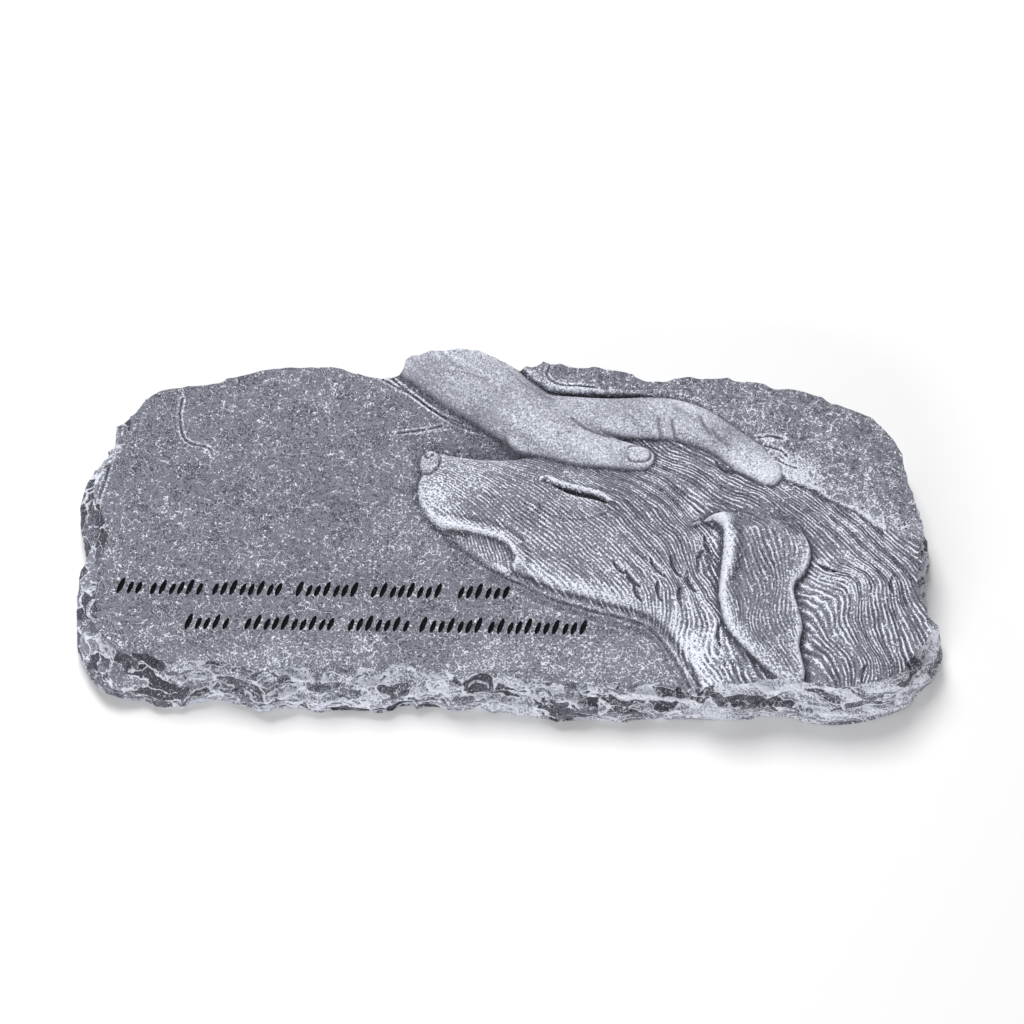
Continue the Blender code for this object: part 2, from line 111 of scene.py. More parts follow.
# %% [markdown]
# A relief can be modelled as a sheet of clay on a board: at each place of the board there is one
# height. Here the board is a grid of numbers a quarter of a millimetre apart. Sculpting brushes
# need a hand and a window, but sums on a grid give the same lumps, cuts and hairs, and they give
# them again exactly on every run.

# %% The board, smooth lines and distances
STEP = 0.25
board_x = np.arange(-148.0, 142.0, STEP)
board_y = np.arange(-68.0, 69.0, STEP)
X, Y = np.meshgrid(board_x, board_y)
FAR = 14.0


def smooth_line(points, closed=False, steps=6):
    """Smooth line through the drawn points."""
    rows = np.array(points, float)
    count = len(rows)
    index = np.arange(count if closed else count - 1)

    def row(k):
        return rows[k % count] if closed else rows[np.clip(k, 0, count - 1)]

    t = np.linspace(0, 1, steps, endpoint=False)[None, :, None]
    before, start, end, after = (row(index + k)[:, None] for k in (-1, 0, 1, 2))
    bend = 2 * before - 5 * start + 4 * end - after + t * (3 * (start - end) + after - before)
    line = (start + 0.5 * t * (end - before + t * bend)).reshape(-1, rows.shape[1])
    return line if closed else np.vstack([line, rows[-1:]])


def window(low_corner, high_corner):
    """Part of the board between two corners, as a pair of slices, or None off the board."""
    left = max(0, int((low_corner[0] - board_x[0]) / STEP))
    right = min(len(board_x), int((high_corner[0] - board_x[0]) / STEP) + 2)
    front = max(0, int((low_corner[1] - board_y[0]) / STEP))
    back = min(len(board_y), int((high_corner[1] - board_y[0]) / STEP) + 2)
    if left >= right or front >= back:
        return None
    return slice(front, back), slice(left, right)


def segment_distance(x, y, a, b):
    """Distance from points to one straight stretch, and the share of the way along it."""
    dx, dy = b[0] - a[0], b[1] - a[1]
    t = np.clip(((x - a[0]) * dx + (y - a[1]) * dy) / (dx * dx + dy * dy + 1e-12), 0, 1)
    return np.hypot(x - a[0] - t * dx, y - a[1] - t * dy), t


def line_distance(line, closed=False, reach=FAR):
    """Distance on the board to a line, up to a reach."""
    field = np.full(X.shape, reach)
    ends = np.roll(line, -1, 0)
    for a, b in list(zip(line, ends))[:None if closed else -1]:
        part = window(np.minimum(a, b)[:2] - reach, np.maximum(a, b)[:2] + reach)
        if part is not None:
            d, _ = segment_distance(X[part], Y[part], a, b)
            field[part] = np.minimum(field[part], d)
    return field


def inside(line):
    """Where the board is inside a closed line."""
    turns = np.zeros((len(board_y), len(board_x) + 1), np.int8)
    for a, b in zip(line, np.roll(line, -1, 0)):
        rows = np.nonzero((board_y >= min(a[1], b[1])) & (board_y < max(a[1], b[1])))[0]
        if len(rows):
            cross = a[0] + (board_y[rows] - a[1]) * (b[0] - a[0]) / (b[1] - a[1])
            columns = np.clip(np.ceil((cross - board_x[0]) / STEP), 0, len(board_x)).astype(int)
            np.add.at(turns, (rows, columns), 1)
    return np.cumsum(turns[:, :-1], 1) % 2 == 1


def depth_inside(points, reach=FAR):
    """Distance inwards from a closed outline, negative outside it."""
    line = smooth_line(points, True)
    d = line_distance(line, True, reach)
    return np.where(inside(line), d, -d)


def ease(t):
    """Smooth step from 0 to 1."""
    t = np.clip(t, 0, 1)
    return t * t * (3 - 2 * t)


def shoulder(depth, width):
    """Quarter round from an edge up to full height."""
    t = 1 - np.clip(depth / width, 0, 1)
    return np.sqrt(1 - t * t)


def ring(distance, place, width):
    """Soft ridge of height 1 along the places where a distance has one value."""
    return np.exp(-((distance - place) / width) ** 2)


def swell(cx, cy, rx, ry, turn=0.0):
    """Soft oval mound of height 1 on the board."""
    c, s = math.cos(math.radians(turn)), math.sin(math.radians(turn))
    u, v = (X - cx) * c + (Y - cy) * s, (Y - cy) * c - (X - cx) * s
    return np.exp(-(u / rx) ** 2 - (v / ry) ** 2)


in_dog = depth_inside(DOG)
in_ear = depth_inside(EAR)
in_ledge = depth_inside(LEDGE)
in_rim = depth_inside([row[:2] for row in RIM])
print("board of", X.shape, "places; the head covers", round(float((in_dog > 0).mean()), 2), "of it")

# %% [markdown]
# Stone is never even. One kind of unevenness serves everywhere: a cloud, which is noise blurred to
# one grain size. Where a cloud passes through zero there are thin crooked lines, which make veins.
# The blur is done with a Fourier transform, which is quick on a whole board and has no seams.

# %% Clouds
def blur(field, grain):
    """Gaussian blur of a grid, in millimetres, on a grid that closes on itself."""
    rows, columns = field.shape
    wave_y = np.fft.fftfreq(rows, STEP)[:, None]
    wave_x = np.fft.rfftfreq(columns, STEP)[None, :]
    pass_band = np.exp(-2 * math.pi ** 2 * ((wave_x * grain) ** 2 + (wave_y * grain) ** 2))
    return np.fft.irfft2(np.fft.rfft2(field) * pass_band, s=field.shape)


def cloud(seed, grain, shape=X.shape):
    """Smooth random field of spread 1."""
    field = blur(np.random.default_rng(seed).standard_normal(shape), grain)
    return (field - field.mean()) / field.std()


def span(field):
    """Lowest and highest value, for print."""
    return round(float(np.min(field)), 2), round(float(np.max(field)), 2)


lumps = cloud(2, 3.0)
print("lumps laid, lowest and highest", span(lumps))

# %% [markdown]
# The head is built up from its outline: a quarter-round edge, a level of bulk, and soft mounds for
# muzzle, cheek, brow and shoulder. The mouth is a small step down to the lower jaw. The closed eye
# is a slit between two swollen lids. A subdivided cage would also give such a form, but its
# outline would wander, while the drawn outline stays sharp here.

# %% The dog's head
# Distances of the small folds from the eye's slit
FOLD_GAPS = (1.6, 2.8, 4.0)


def head():
    bulk = (4.2 + 1.4 * swell(-8, 10, 22, 12, -15) + 2.0 * swell(28, -6, 20, 14, -20)
            + 1.6 * swell(48, 14, 16, 12) - 0.8 * swell(2, 16, 6, 6)
            + 1.0 * swell(112, -30, 14, 22) + 0.6 * swell(55, -30, 10, 20))
    soft = ease((X + 6) / 8) * ease((14 - Y) / 12)
    crisp_edge = shoulder(in_dog, 6.5 + 3.0 * ease(X / 30))
    height = bulk * (crisp_edge * (1 - soft) + shoulder(in_dog - 2.6, 6.0) * soft)
    below_lip = depth_inside(JAW)
    lip = line_distance(smooth_line(LIP))
    height -= 1.6 * ease(below_lip / 0.8) * ease((Y + 19) / 5)
    height += np.where(below_lip < 0, 0.8 * ring(lip, 0, 2.0), 0.0)
    height -= 0.5 * ring(lip, 4.2, 1.2) * (below_lip < 0) * ease((X + 32) / 6)
    return height


def above_slit():
    """Where the board is above the line of the eye."""
    return Y > np.interp(X, *np.array(EYE_SLIT).T)


def eye():
    slit = line_distance(smooth_line(EYE_SLIT))
    above = above_slit()
    lids = 1.5 * swell(20, 13.2, 9, 4.2, -18) + 0.9 * swell(21, 3.4, 8, 3.6, -14)
    crease = 0.3 * ring(np.hypot((X - 20) / 12.5, (Y - 5.6) / 7.2), 1, 0.06) * (Y < 5)
    lid_edge = 1.0 * ring(slit, 1.1, 0.9) * above * ease((X - 9) / 4)
    folds = sum(0.4 * ring(slit, gap, 0.3) * swell(7.5, 14, 4, 4.5) for gap in FOLD_GAPS)
    open_width = 0.3 + 0.95 * np.clip(1 - ((X - 22) / 9.5) ** 2, 0, 1)
    cut = 2.2 * np.exp(-((slit + 0.35 * above) / open_width) ** 4)
    return lids + lid_edge + folds - cut - crease


def pad_reach():
    """Way from the middle of the nose's pad, 1 at its edge."""
    return np.hypot((X + 28.3) / 3.1, (Y - 21.8) / 4.6)


def nose():
    pad = pad_reach()
    nostril = line_distance(smooth_line(NOSTRIL))
    groove = 0.55 * ring(pad, 1.15, 0.13)
    return 0.9 * np.exp(-pad ** 4) - groove - 1.4 * ring(nostril, 0, 0.6)


dog_height = head() + eye() + nose()
print("head, lowest and highest in mm", span(dog_height[in_dog > 1]))

# %% [markdown]
# The ear hangs over the neck as a layer of its own, with a rolled front edge and a hollow beside
# it. On the board a layer is simply the higher of two heights, so its edge is crisp by itself.

# %% The ear
def ear():
    front_edge = ease((76 - X) / 7)
    roll_width = 3.0 - 1.7 * ease((-Y - 10) / 18)
    roll = ring(in_ear, roll_width, roll_width) * front_edge * ease((Y + 44) / 20)
    merged = ease((Y + 7) / 9) * ease((X - 66) / 6)
    height = 5.2 + (2.6 + 0.4 * np.sin((Y + 10) / 9)) * shoulder(in_ear + 0.5, 4.0) + 1.7 * roll
    height -= 0.9 * swell(79, -25, 6, 20) + 1.0 * ease((-Y - 44) / 16) + 2.6 * merged
    back_rim = 0.5 * ring(in_ear, 1.1, 0.9) * ease((X - 82) / 4) * ease((-24 - Y) / 4)
    valley = 0.6 * ring(in_ear, 6.0, 1.6) * front_edge * ease(-Y / 4)
    return height - valley + back_rim


ear_height = ear()
print("ear, lowest and highest in mm", span(ear_height[in_ear > 1]))

# %% [markdown]
# The hand comes in from the back edge. Wrist, thumb and finger are each a rounded limb along a
# centre line with its own width and crown, joined by a soft maximum, as clay sausages are pressed
# together and smoothed. Skin folds cross the knuckles, and the thumb has its nail.

# %% The hand
def limb(rows, roundness, edge):
    """Height of a rounded limb along its centre line, with a low edge power for a steep side."""
    path = smooth_line(rows)
    reach = path[:, 2].max() + 3
    part = window(path.min(0)[:2] - reach, path.max(0)[:2] + reach)
    x, y = X[part], Y[part]
    best = np.full(x.shape, 1e9)
    along = np.zeros(x.shape)
    for k in range(len(path) - 1):
        d, t = segment_distance(x, y, path[k], path[k + 1])
        nearer = d < best
        best = np.where(nearer, d, best)
        along = np.where(nearer, k + t, along)
    half_width, crown, foot = (np.interp(along, np.arange(len(path)), path[:, k]) for k in (2, 3, 4))
    t = best / half_width
    arch = foot + (crown - foot) * np.maximum(0, 1 - t ** roundness) ** edge
    height = np.full(X.shape, -20.0)
    height[part] = np.where(t < 1, arch, foot - 14 * (t - 1))
    return height


def press(a, b, width):
    """Higher of two heights, with the valley between them smoothed."""
    h = np.clip(0.5 + 0.5 * (a - b) / width, 0, 1)
    return b + (a - b) * h + width * h * (1 - h)


# Skin folds: x and y of the middle, heading, length and depth
FOLDS = [
    (47.2, 31.5, -80, 6, 0.35), (51.8, 31, -76, 6, 0.32), (62, 32, -62, 7, 0.35),
    (66.5, 27.5, -50, 7, 0.35), (34, 27.5, -70, 4, 0.15), (24, 31, -30, 14, 0.35),
    (2, 50, -42, 26, 0.12), (-20, 56, -40, 24, 0.12),
]


def bent_line(x, y, heading, length, bend, points):
    """Short line bent like a bow, from its middle, its heading in radians and its length."""
    along = np.array([math.cos(heading), math.sin(heading)])
    across = np.array([-math.sin(heading), math.cos(heading)])
    t = np.linspace(-0.5, 0.5, points)[:, None]
    return np.array([x, y]) + length * t * along + bend * length * t * t * across


def fold_lines():
    depth = np.zeros(X.shape)
    for fx, fy, angle, length, deep in FOLDS:
        d = line_distance(bent_line(fx, fy, math.radians(angle), length, 0.35, 7), reach=3.0)
        depth = np.maximum(depth, deep * ring(d, 0, 0.55))
    return depth


SQUARISH = 2.7


def nail_reach():
    """Way from the middle of the thumbnail, 1 at its squarish edge."""
    nail_x, nail_y, nail_length, nail_width = THUMBNAIL
    along, across = np.abs((X - nail_x) / nail_length), np.abs((Y - nail_y) / nail_width)
    return (along ** SQUARISH + across ** SQUARISH) ** (1 / SQUARISH)


def hand():
    arm, thumb, finger = limb(ARM, 2.6, 0.6), limb(THUMB, 2.2, 0.45), limb(FINGER, 2.2, 0.45)
    height = press(press(arm, thumb, 1.6), finger, 1.0)
    nail = nail_reach()
    height -= 0.7 * ring(nail, 1, 0.12) * ease((X - THUMBNAIL[0] + 4.4) / 2)
    height += 0.15 * np.exp(-nail ** 4)
    return height - fold_lines()


hand_height = hand()
print("hand, highest in mm", span(hand_height)[1])

# %% [markdown]
# Fur is what makes the head live. The modeller scratched it in as long rows of fine lines that
# never cross. Such rows are the contour lines of a number that grows steadily across the lie of
# the hair. So the headings of the fur are drawn at a few places and blended, and then the number,
# counted in hairs, is found that fits them best. Particle hair would be lost in an export, and
# separate ridges would end ragged. The contour lines serve the relief and the paint alike.

# %% The lie of the fur
HEAD_FUR = [
    (-25, 20, -15), (-12, 18, -16), (0, 17, -18), (-22, 8, -40), (-10, 10, -38), (-22, 2, -50),
    (5, 5, -48), (5, -12, -50), (-8, -3, -46), (25, -8, -56), (38, 18, -20), (52, 18, -34),
    (64, 14, -48), (72, 22, -45), (50, 3, -55), (15, -22, -38), (32, -24, -50), (44, -22, -68),
    (47, -35, -80), (54, -15, -92), (58, -32, -98), (60, -52, -82), (84, 8, -38), (70, 5, -18),
    (93, 2, -60), (60, 4, -25), (97.5, -2, -62), (105, -11, -55), (116, -16, -35), (127, -20, -42),
    (131, -29, -58), (130, -11, -20), (96, -22, 0), (101, -25.5, -12), (106, -30, -42), (110, -36, -70),
    (111, -43.5, -92), (97, -35, -15), (102, -39, -48), (105, -48, -70), (95, -46, -25), (98, -53, -45),
    (122, -34, -75), (120.5, -46, -105), (129, -42, -85), (114, -55, -110), (124, -54, -95),
]
EAR_FUR = [
    (62, -3, -10), (68, -2, -25), (76, 0, -35), (84, -2, -50), (90, -8, -72), (89, -18, -100),
    (85, -30, -100), (80, -12, -70), (73, -12, -66), (70, -22, -82), (71, -35, -85), (77, -45, -70),
    (86, -50, -76),
]
COARSE = 4


def lie_of_fur(guides, sway):
    """Heading of the hair on every fourth place of the board, in radians."""
    x, y = X[::COARSE, ::COARSE], Y[::COARSE, ::COARSE]
    east, north = np.zeros(x.shape), np.zeros(x.shape)
    for gx, gy, angle in guides:
        weight = ((x - gx) ** 2 + (y - gy) ** 2 + 4.0) ** -1.5
        east += weight * math.cos(math.radians(angle))
        north += weight * math.sin(math.radians(angle))
    return np.arctan2(north, east) + sway[::COARSE, ::COARSE]


def count_hairs(heading, spacing, rounds=500):
    """Number of hairs counted across the fur, fitted to its heading and spacing."""
    cell = 2 * COARSE * STEP
    angle = 0.25 * (heading[1:, 1:] + heading[:-1, 1:] + heading[1:, :-1] + heading[:-1, :-1])
    along_x, along_y = np.cos(angle), np.sin(angle)
    aim = 1 / spacing[::COARSE, ::COARSE][:-1, :-1]

    def spread(slope_x, slope_y):
        total = np.zeros(heading.shape)
        total[:-1, :-1] -= slope_x + slope_y
        total[:-1, 1:] += slope_x - slope_y
        total[1:, :-1] += slope_y - slope_x
        total[1:, 1:] += slope_x + slope_y
        return total / cell

    def pulled(number):
        slope_x = (number[:-1, 1:] - number[:-1, :-1] + number[1:, 1:] - number[1:, :-1]) / cell
        slope_y = (number[1:, :-1] - number[:-1, :-1] + number[1:, 1:] - number[:-1, 1:]) / cell
        along = 6.0 * (slope_x * along_x + slope_y * along_y)
        across = slope_y * along_x - slope_x * along_y
        return spread(along * along_x - across * along_y, along * along_y + across * along_x)

    number = np.zeros(heading.shape)
    rest = spread(-aim * along_y, aim * along_x)
    step = rest.copy()
    size = float((rest * rest).sum())
    for _ in range(rounds):
        pull = pulled(step)
        share = size / float((step * pull).sum())
        number += share * step
        rest -= share * pull
        new_size = float((rest * rest).sum())
        step = rest + new_size / size * step
        size = new_size
    return number


def read_grid(field, u, v, wrap=False):
    """Value of a grid between its places."""
    rows, columns = field.shape
    i = np.floor(u).astype(int)
    j = np.clip(np.floor(v).astype(int), 0, rows - 2)
    s, t = u - i, np.clip(v - j, 0, 1)
    if wrap:
        left, right = i % columns, (i + 1) % columns
    else:
        left, right = np.clip(i, 0, columns - 1), np.clip(i + 1, 0, columns - 1)
    front = field[j, left] * (1 - s) + field[j, right] * s
    back = field[j + 1, left] * (1 - s) + field[j + 1, right] * s
    return front * (1 - t) + back * t


def read_board(field, x, y, step=STEP):
    """Value of a board at places in millimetres, also of a coarser board."""
    return read_grid(field, (x - board_x[0]) / step, (y - board_y[0]) / step)


shown = in_rim > -1.0
face_share = ease((44 - X) / 20) * ease((Y + 26) / 10)
head_spacing = 1.12 - 0.22 * face_share
curl = ease((X - 40) / 12) * ease((-8 - Y) / 10)
sway = (0.20 - 0.10 * face_share + 0.14 * curl) * cloud(11, 4.6)
wave = (0.28 - 0.15 * face_share) * cloud(12, 3.4) + 0.09 * cloud(13, 0.9)
head_heading = lie_of_fur(HEAD_FUR, sway)
ear_heading = lie_of_fur(EAR_FUR, 0.8 * sway)
head_count = read_board(count_hairs(head_heading, head_spacing), X, Y, COARSE * STEP) + wave
ear_count = read_board(count_hairs(ear_heading, np.full(X.shape, 1.1)), X, Y, COARSE * STEP) + wave
jaw_count = (0.97 * X + 0.26 * Y) / 1.05 + wave
print("hairs across the head", int(np.ptp(head_count[(in_dog > 0) & shown])))

# %% [markdown]
# Between the locks the modeller cut deeper crescents with a loop tool. They catch the dark wash and
# part the fur into tufts. A crescent is a short curved line with a soft groove round it.

# %% Deep cuts, and the fur laid on the head
# Cuts: x and y of the middle, and length
GOUGES = [
    (37, -23, 7), (38.5, -27.5, 6), (45, -19, 8), (45.3, -27, 7), (50.6, -18.5, 8), (58.5, -16, 9),
    (61.6, -10, 7), (68, 18, 7), (64.2, -41.7, 9), (109, -56, 6), (100, -19, 6), (52, -29, 7),
    (120, -25, 6), (55.5, -24, 8), (33, -19, 6),
]
HAIRS_IN_A_LOCK = 4


def gouge_depth():
    """Crescents laid along the fur, from 0 to 1."""
    depth = np.zeros(X.shape)
    for gx, gy, length in GOUGES:
        heading = float(read_board(head_heading, np.array([gx]), np.array([gy]), COARSE * STEP)[0])
        line = bent_line(gx, gy, heading, length, 0.4, 9)
        centre = np.hypot(X - gx, Y - gy)
        width = 0.75 * np.clip(1.2 - centre / (0.62 * length), 0.1, 1)
        groove = ring(line_distance(line, reach=4.0), 0, width) * (centre < 0.7 * length)
        depth = np.maximum(depth, groove)
    return depth


def hairs(count):
    """Rounded ridges, one to each hair, from 0 to 1, each with its own strong and weak stretches."""
    own = np.choose(np.round(count).astype(int) % 5, own_strength)
    return own * (0.5 + 0.5 * np.cos(2 * math.pi * count)) ** 1.3


own_strength = [np.clip(0.6 + 0.4 * cloud(60 + k, 1.8), 0.05, 1.2) for k in range(5)]
in_jaw = depth_inside(JAW)
jaw_share = ease(in_jaw / 0.5) * ease((in_dog - 0.3) / 0.8)
ear_share = ease((in_ear - 0.2) / 0.5)
gouges = gouge_depth()
hair_height = 0.42 - 0.16 * face_share
locks = 0.55 * (1 - face_share) * np.clip(cloud(7, 5.0) + 0.4, 0, 1)
locks = locks * (0.5 - 0.5 * np.cos(2 * math.pi * head_count / HAIRS_IN_A_LOCK))
dog_height += hair_height * hairs(head_count) * (1 - jaw_share) + 0.3 * hairs(jaw_count) * jaw_share
dog_height -= 1.1 * gouges + locks * (1 - jaw_share)
dog_height += 0.25 * cloud(5, 2.4) * ease((X - 36) / 12)
ear_height += 0.36 * hairs(ear_count)
top_merge = ease((Y + 12) / 9) * ease((X - 67) / 6) * (1 - ease(in_ear / 9))
ear_height = ear_height * (1 - top_merge) + dog_height * top_merge
fur_count = np.where(in_ear > 0, ear_count, np.where(in_jaw > 0.3, jaw_count, head_count))
print("cuts", len(GOUGES))

# %% [markdown]
# The plain panel is not quite plain: it has low waves, a few thin cracks, a soft hollow round the
# muzzle and low steps under the throat. The ledge behind the head is rougher rock, made of clouds
# and veins of several sizes. Then all layers are laid on the panel: at each place the highest wins.

# %% Panel and ledge
CRACKS = [
    [(-111.2, 47.5), (-111.7, 40.6), (-109.2, 31.4), (-101.6, 28.6), (-100, 25.2)],
    [(-43, 56.5), (-28.7, 43.9), (-20.5, 37.9), (-10.8, 33.7)],
    [(-47.3, 56.5), (-36.1, 49.7), (-26.5, 42.2), (-17.5, 37.5)],
    [(-39.1, 34.2), (-30.2, 35.4), (-24.5, 36.8)],
    [(12.5, 60.5), (11.5, 57.5), (10.4, 53.8), (12.2, 51), (16, 49), (22.6, 48.8), (27, 48.2)],
    [(80, 29), (84, 29.5), (88, 28.5)],
    [(82, 26), (87, 24), (89, 22)],
    [(85, 21.5), (88, 19), (92, 17.5)],
    [(-131, 36), (-134, 20), (-137, 5), (-137.5, -5)],
]


def panel():
    ground = 0.35 * np.sin(X / 23 + 1) * np.cos(Y / 17)
    away = np.maximum(-in_dog, 0) + 0.4 * lumps
    ground -= 1.0 * np.exp(-np.maximum(away, 0) ** 2 / 22)
    throat = ease((X + 20) / 8) * ease((58 - X) / 8) * (Y < 4)
    for gap, height in ((-0.6, 0.35), (1.4, 0.3), (4.5, 0.25)):
        ground += height * throat * ring(0.25 * lumps - in_dog, gap, 0.5)
    return ground + 0.10 * cloud(23, 3.0)


def ledge():
    top = 6.2 - 0.00045 * np.maximum(X - 60, 0) ** 2 - 0.6 * ease((Y - 40) / 14)
    rock_veins = ring(cloud(32, 1.2), 0, 0.3)
    top += 0.35 * cloud(31, 4.0) + 0.22 * rock_veins + 0.12 * cloud(33, 1.0)
    return 3.0 + (top - 3.0) * ease(in_ledge / 1.2)


crack_gaps = [line_distance(smooth_line(line), reach=3.0) for line in CRACKS]
cracks = sum(0.5 * ring(gap, 0, 0.32) - 0.18 * ring(gap, 0.8, 0.35) for gap in crack_gaps)
print("cracks", len(crack_gaps))

# %% The layers laid on each other
relief = panel()
on_throat = ease((X + 6) / 8) * (Y < 4) * ease((60 - X) / 6)
relief = np.where(in_dog > 0, np.maximum(dog_height, relief - 0.5 * (1 - on_throat)), relief)
relief = np.where(in_ear > 0, np.maximum(relief, ear_height), relief)
beside_ear = ring(np.maximum(-in_ear, 0), 0, 2) * ease((2 - Y) / 8)
hollow = 1.8 * swell(62.5, -11, 3, 7.5, 8) + 0.8 * beside_ear
relief -= np.where((in_ear < 0) & (in_dog > 0), hollow, 0.0)
relief = np.where(in_ledge > 0, np.maximum(relief, ledge()), relief)
relief = np.maximum(relief, hand_height) - cracks
cliffs = ease((np.hypot(*np.gradient(blur(relief, 0.2), STEP)) - 1.2) / 1.0)
relief = relief + (blur(relief, 0.28) - relief) * ease(blur(cliffs, 0.4) * 2)
print("relief, lowest and highest in mm", span(relief[shown]))

# %% Where fur shows, where lines are dark, and where shade is painted
slit = line_distance(smooth_line(EYE_SLIT), reach=5.0)
seam = ring(in_ear, 0.5, 1.6) * ease((Y + 9) / 6) * ease((X - 66) / 4)
fur_share = np.where(in_ear > 0, 0.52 * ear_share, ease((in_dog - 0.8) / 1.2))
fur_share = fur_share * (in_ledge < 0.2) * (hand_height < relief - 0.05)
fur_share = fur_share * (1 - 0.8 * seam) * (1 - ring(slit, 0, 1.3)) * (1 - gouges)
fur_share = fur_share * ease((pad_reach() - 1.1) / 0.3)
fur_share = blur(fur_share * (0.8 + 0.2 * (1 - face_share)), 0.3)
lid = ring(slit, 1.7, 0.5) * above_slit()
# Dark in the eye's slit: dark wash and painted shadow of the upper lid; in the cuts, dark wash only
dark_wash_and_shade = 1.2 * np.exp(-(slit / 0.9) ** 4) + 0.3 * gouges
dark_wash_and_shade = dark_wash_and_shade - 0.3 * on_throat * ring(in_dog, 3, 3)
# Painted shade in the hollow beside the ear's front edge
dark_wash_and_shade = dark_wash_and_shade + 0.7 * swell(62.5, -12, 3, 8, 8) * (in_ear < 0)
print("fur covers", round(float(fur_share[shown].mean()), 2), "of the top")

# %% [markdown]
# The sides are broken, as slate breaks: each blow leaves a shallow bowl, and where bowls meet there
# is a sharp crest. So the side is unrolled to a strip, bowls of many sizes are pressed into it, and
# the lowest bowl wins at each place. The strip closes on itself, so no seam shows. Real rock
# scattered over the side as separate stones would give no such crests.

# %% Bowls along the broken side
rim_line = smooth_line(RIM, True)
rim_steps = np.hypot(*(np.roll(rim_line, -1, 0) - rim_line)[:, :2].T)
rim_length = float(rim_steps.sum())
SIDE_PATH = 24.0
strip_columns = int(rim_length / STEP)
strip_rows = int(SIDE_PATH / STEP)
strip_s = np.tile(np.arange(strip_columns) * STEP, (strip_rows, 1))


def broken_strip(seed, count):
    """Offset of the broken side in millimetres, negative where stone is gone."""
    rng = np.random.default_rng(seed)
    offset = np.full(strip_s.shape, 0.35)
    for _ in range(count):
        s, t = rng.uniform(0, rim_length), rng.uniform(-1, SIDE_PATH)
        half_long, half_high = rng.uniform(3.0, 12.0), rng.uniform(1.8, 5.0)
        deep, tilt = rng.uniform(0.5, 2.6), rng.uniform(-0.4, 0.4)
        lean_s, lean_t = rng.uniform(-0.12, 0.12), rng.uniform(-0.3, 0.3)
        reach = int(1.6 * half_long / STEP)
        columns = (int(s / STEP) + np.arange(-reach, reach + 1)) % strip_columns
        front = max(0, int((t - 1.8 * half_high) / STEP))
        back = min(strip_rows, int((t + 1.8 * half_high) / STEP))
        if front >= back:
            continue
        ds = (np.arange(-reach, reach + 1) * STEP)[None, :]
        dt = (np.arange(front, back) * STEP - t)[:, None] + tilt * ds
        radius = (ds / half_long) ** 2 + (dt / half_high) ** 2
        bowl = -deep * (1 - radius ** 2) + lean_s * ds + lean_t * dt
        patch = offset[front:back][:, columns]
        offset[front:back, columns] = np.minimum(patch, bowl)
    offset += 0.12 * cloud(seed + 1, 0.9, offset.shape)
    return offset


side_offset = broken_strip(41, 620)
wander = 0.7 * cloud(44, 9.0, strip_s.shape)[0]
print("strip of", strip_s.shape, "places, deepest and highest in mm", span(side_offset))

# %% [markdown]
# Now the mesh. A flat grid from the Add menu is the blank. Its inner part becomes the carved top
# and its outer rings fold down to become the broken side, so top and side are one skin without a
# seam. Each vertex finds its place on the rim by its angle, and reads its height off the board.

# %% The blank and its shape
HALF_LENGTH, HALF_WIDTH = 142.5, 64.25
TOP_X, TOP_Y, RINGS = 460, 206, 60
SIDE_PROFILE = np.array([
    (0.0, 0.0, 1.0), (0.12, 0.12, 0.88), (0.38, 0.55, 0.58), (0.52, 0.92, 0.42), (0.66, 1.0, 0.33),
    (0.86, 0.98, 0.1), (1.0, 0.93, 0.0),
])


def read_strip(field, s, t):
    """Value of a strip at lengths along the rim and down the side."""
    return read_grid(field, s / STEP, np.clip(t, 0, SIDE_PATH - STEP) / STEP, wrap=True)


def rim_at(angle):
    """Rim place, flare, outward direction and length along the rim, at an angle of the plan."""
    tangent = np.roll(rim_line, -1, 0) - np.roll(rim_line, 1, 0)
    outward = np.stack([tangent[:, 1], -tangent[:, 0]], 1)
    outward /= np.linalg.norm(outward, axis=1, keepdims=True)
    along = np.concatenate([[0], np.cumsum(rim_steps)[:-1]])
    around = np.unwrap(np.arctan2(rim_line[:, 1] / HALF_WIDTH, rim_line[:, 0] / HALF_LENGTH))
    columns = np.column_stack([rim_line, outward, along])
    full_turn = 2 * math.pi
    columns = np.vstack([columns, columns[:1] + [0, 0, 0, 0, 0, rim_length]])
    around = np.append(around, around[0] + full_turn)
    angle = around[0] + (angle - around[0]) % full_turn
    return [np.interp(angle, around, columns[:, k]) for k in range(6)]


def shape_blank(flat):
    """Places of all vertices of the blank, in drawn millimetres."""
    cells_x, cells_y = TOP_X + RINGS, TOP_Y + RINGS
    across, along = np.round(flat[:, 0] * cells_x), np.round(flat[:, 1] * cells_y)
    fold = np.maximum(0, np.maximum(np.abs(across) - TOP_X, np.abs(along) - TOP_Y))
    a, b = across / (TOP_X + fold), along / (TOP_Y + fold)
    reach = np.maximum(np.abs(a), np.abs(b))
    rim_x, rim_y, flare, out_x, out_y, s = rim_at(np.arctan2(b, a))
    jag = np.minimum(0, read_strip(side_offset, s, np.zeros(len(s)))) * 0.7
    jag = jag + np.interp(s, strip_s[0], wander, period=rim_length)
    rim_x, rim_y = rim_x + jag * out_x, rim_y + jag * out_y
    edge = np.where(reach > 0, reach, 1)
    pull = reach ** 4
    x = a * HALF_LENGTH + (rim_x - a / edge * HALF_LENGTH) * pull
    y = b * HALF_WIDTH + (rim_y - b / edge * HALF_WIDTH) * pull
    top = PANEL_HEIGHT + read_board(relief, x, y)
    down = fold / RINGS
    bowls = read_strip(side_offset, s, down * SIDE_PATH)
    smooth_lip = 1 - 0.55 * ease((down - 0.5) / 0.12)
    bowls = bowls * ease(down / 0.05) * smooth_lip * ease((1 - down) / 0.06)
    out = flare * np.interp(down, SIDE_PROFILE[:, 0], SIDE_PROFILE[:, 1]) + bowls
    z = top * np.interp(down, SIDE_PROFILE[:, 0], SIDE_PROFILE[:, 2])
    z = z + 0.5 * bowls * (down > 0)
    return np.column_stack([x + out * out_x, y + out * out_y, z])


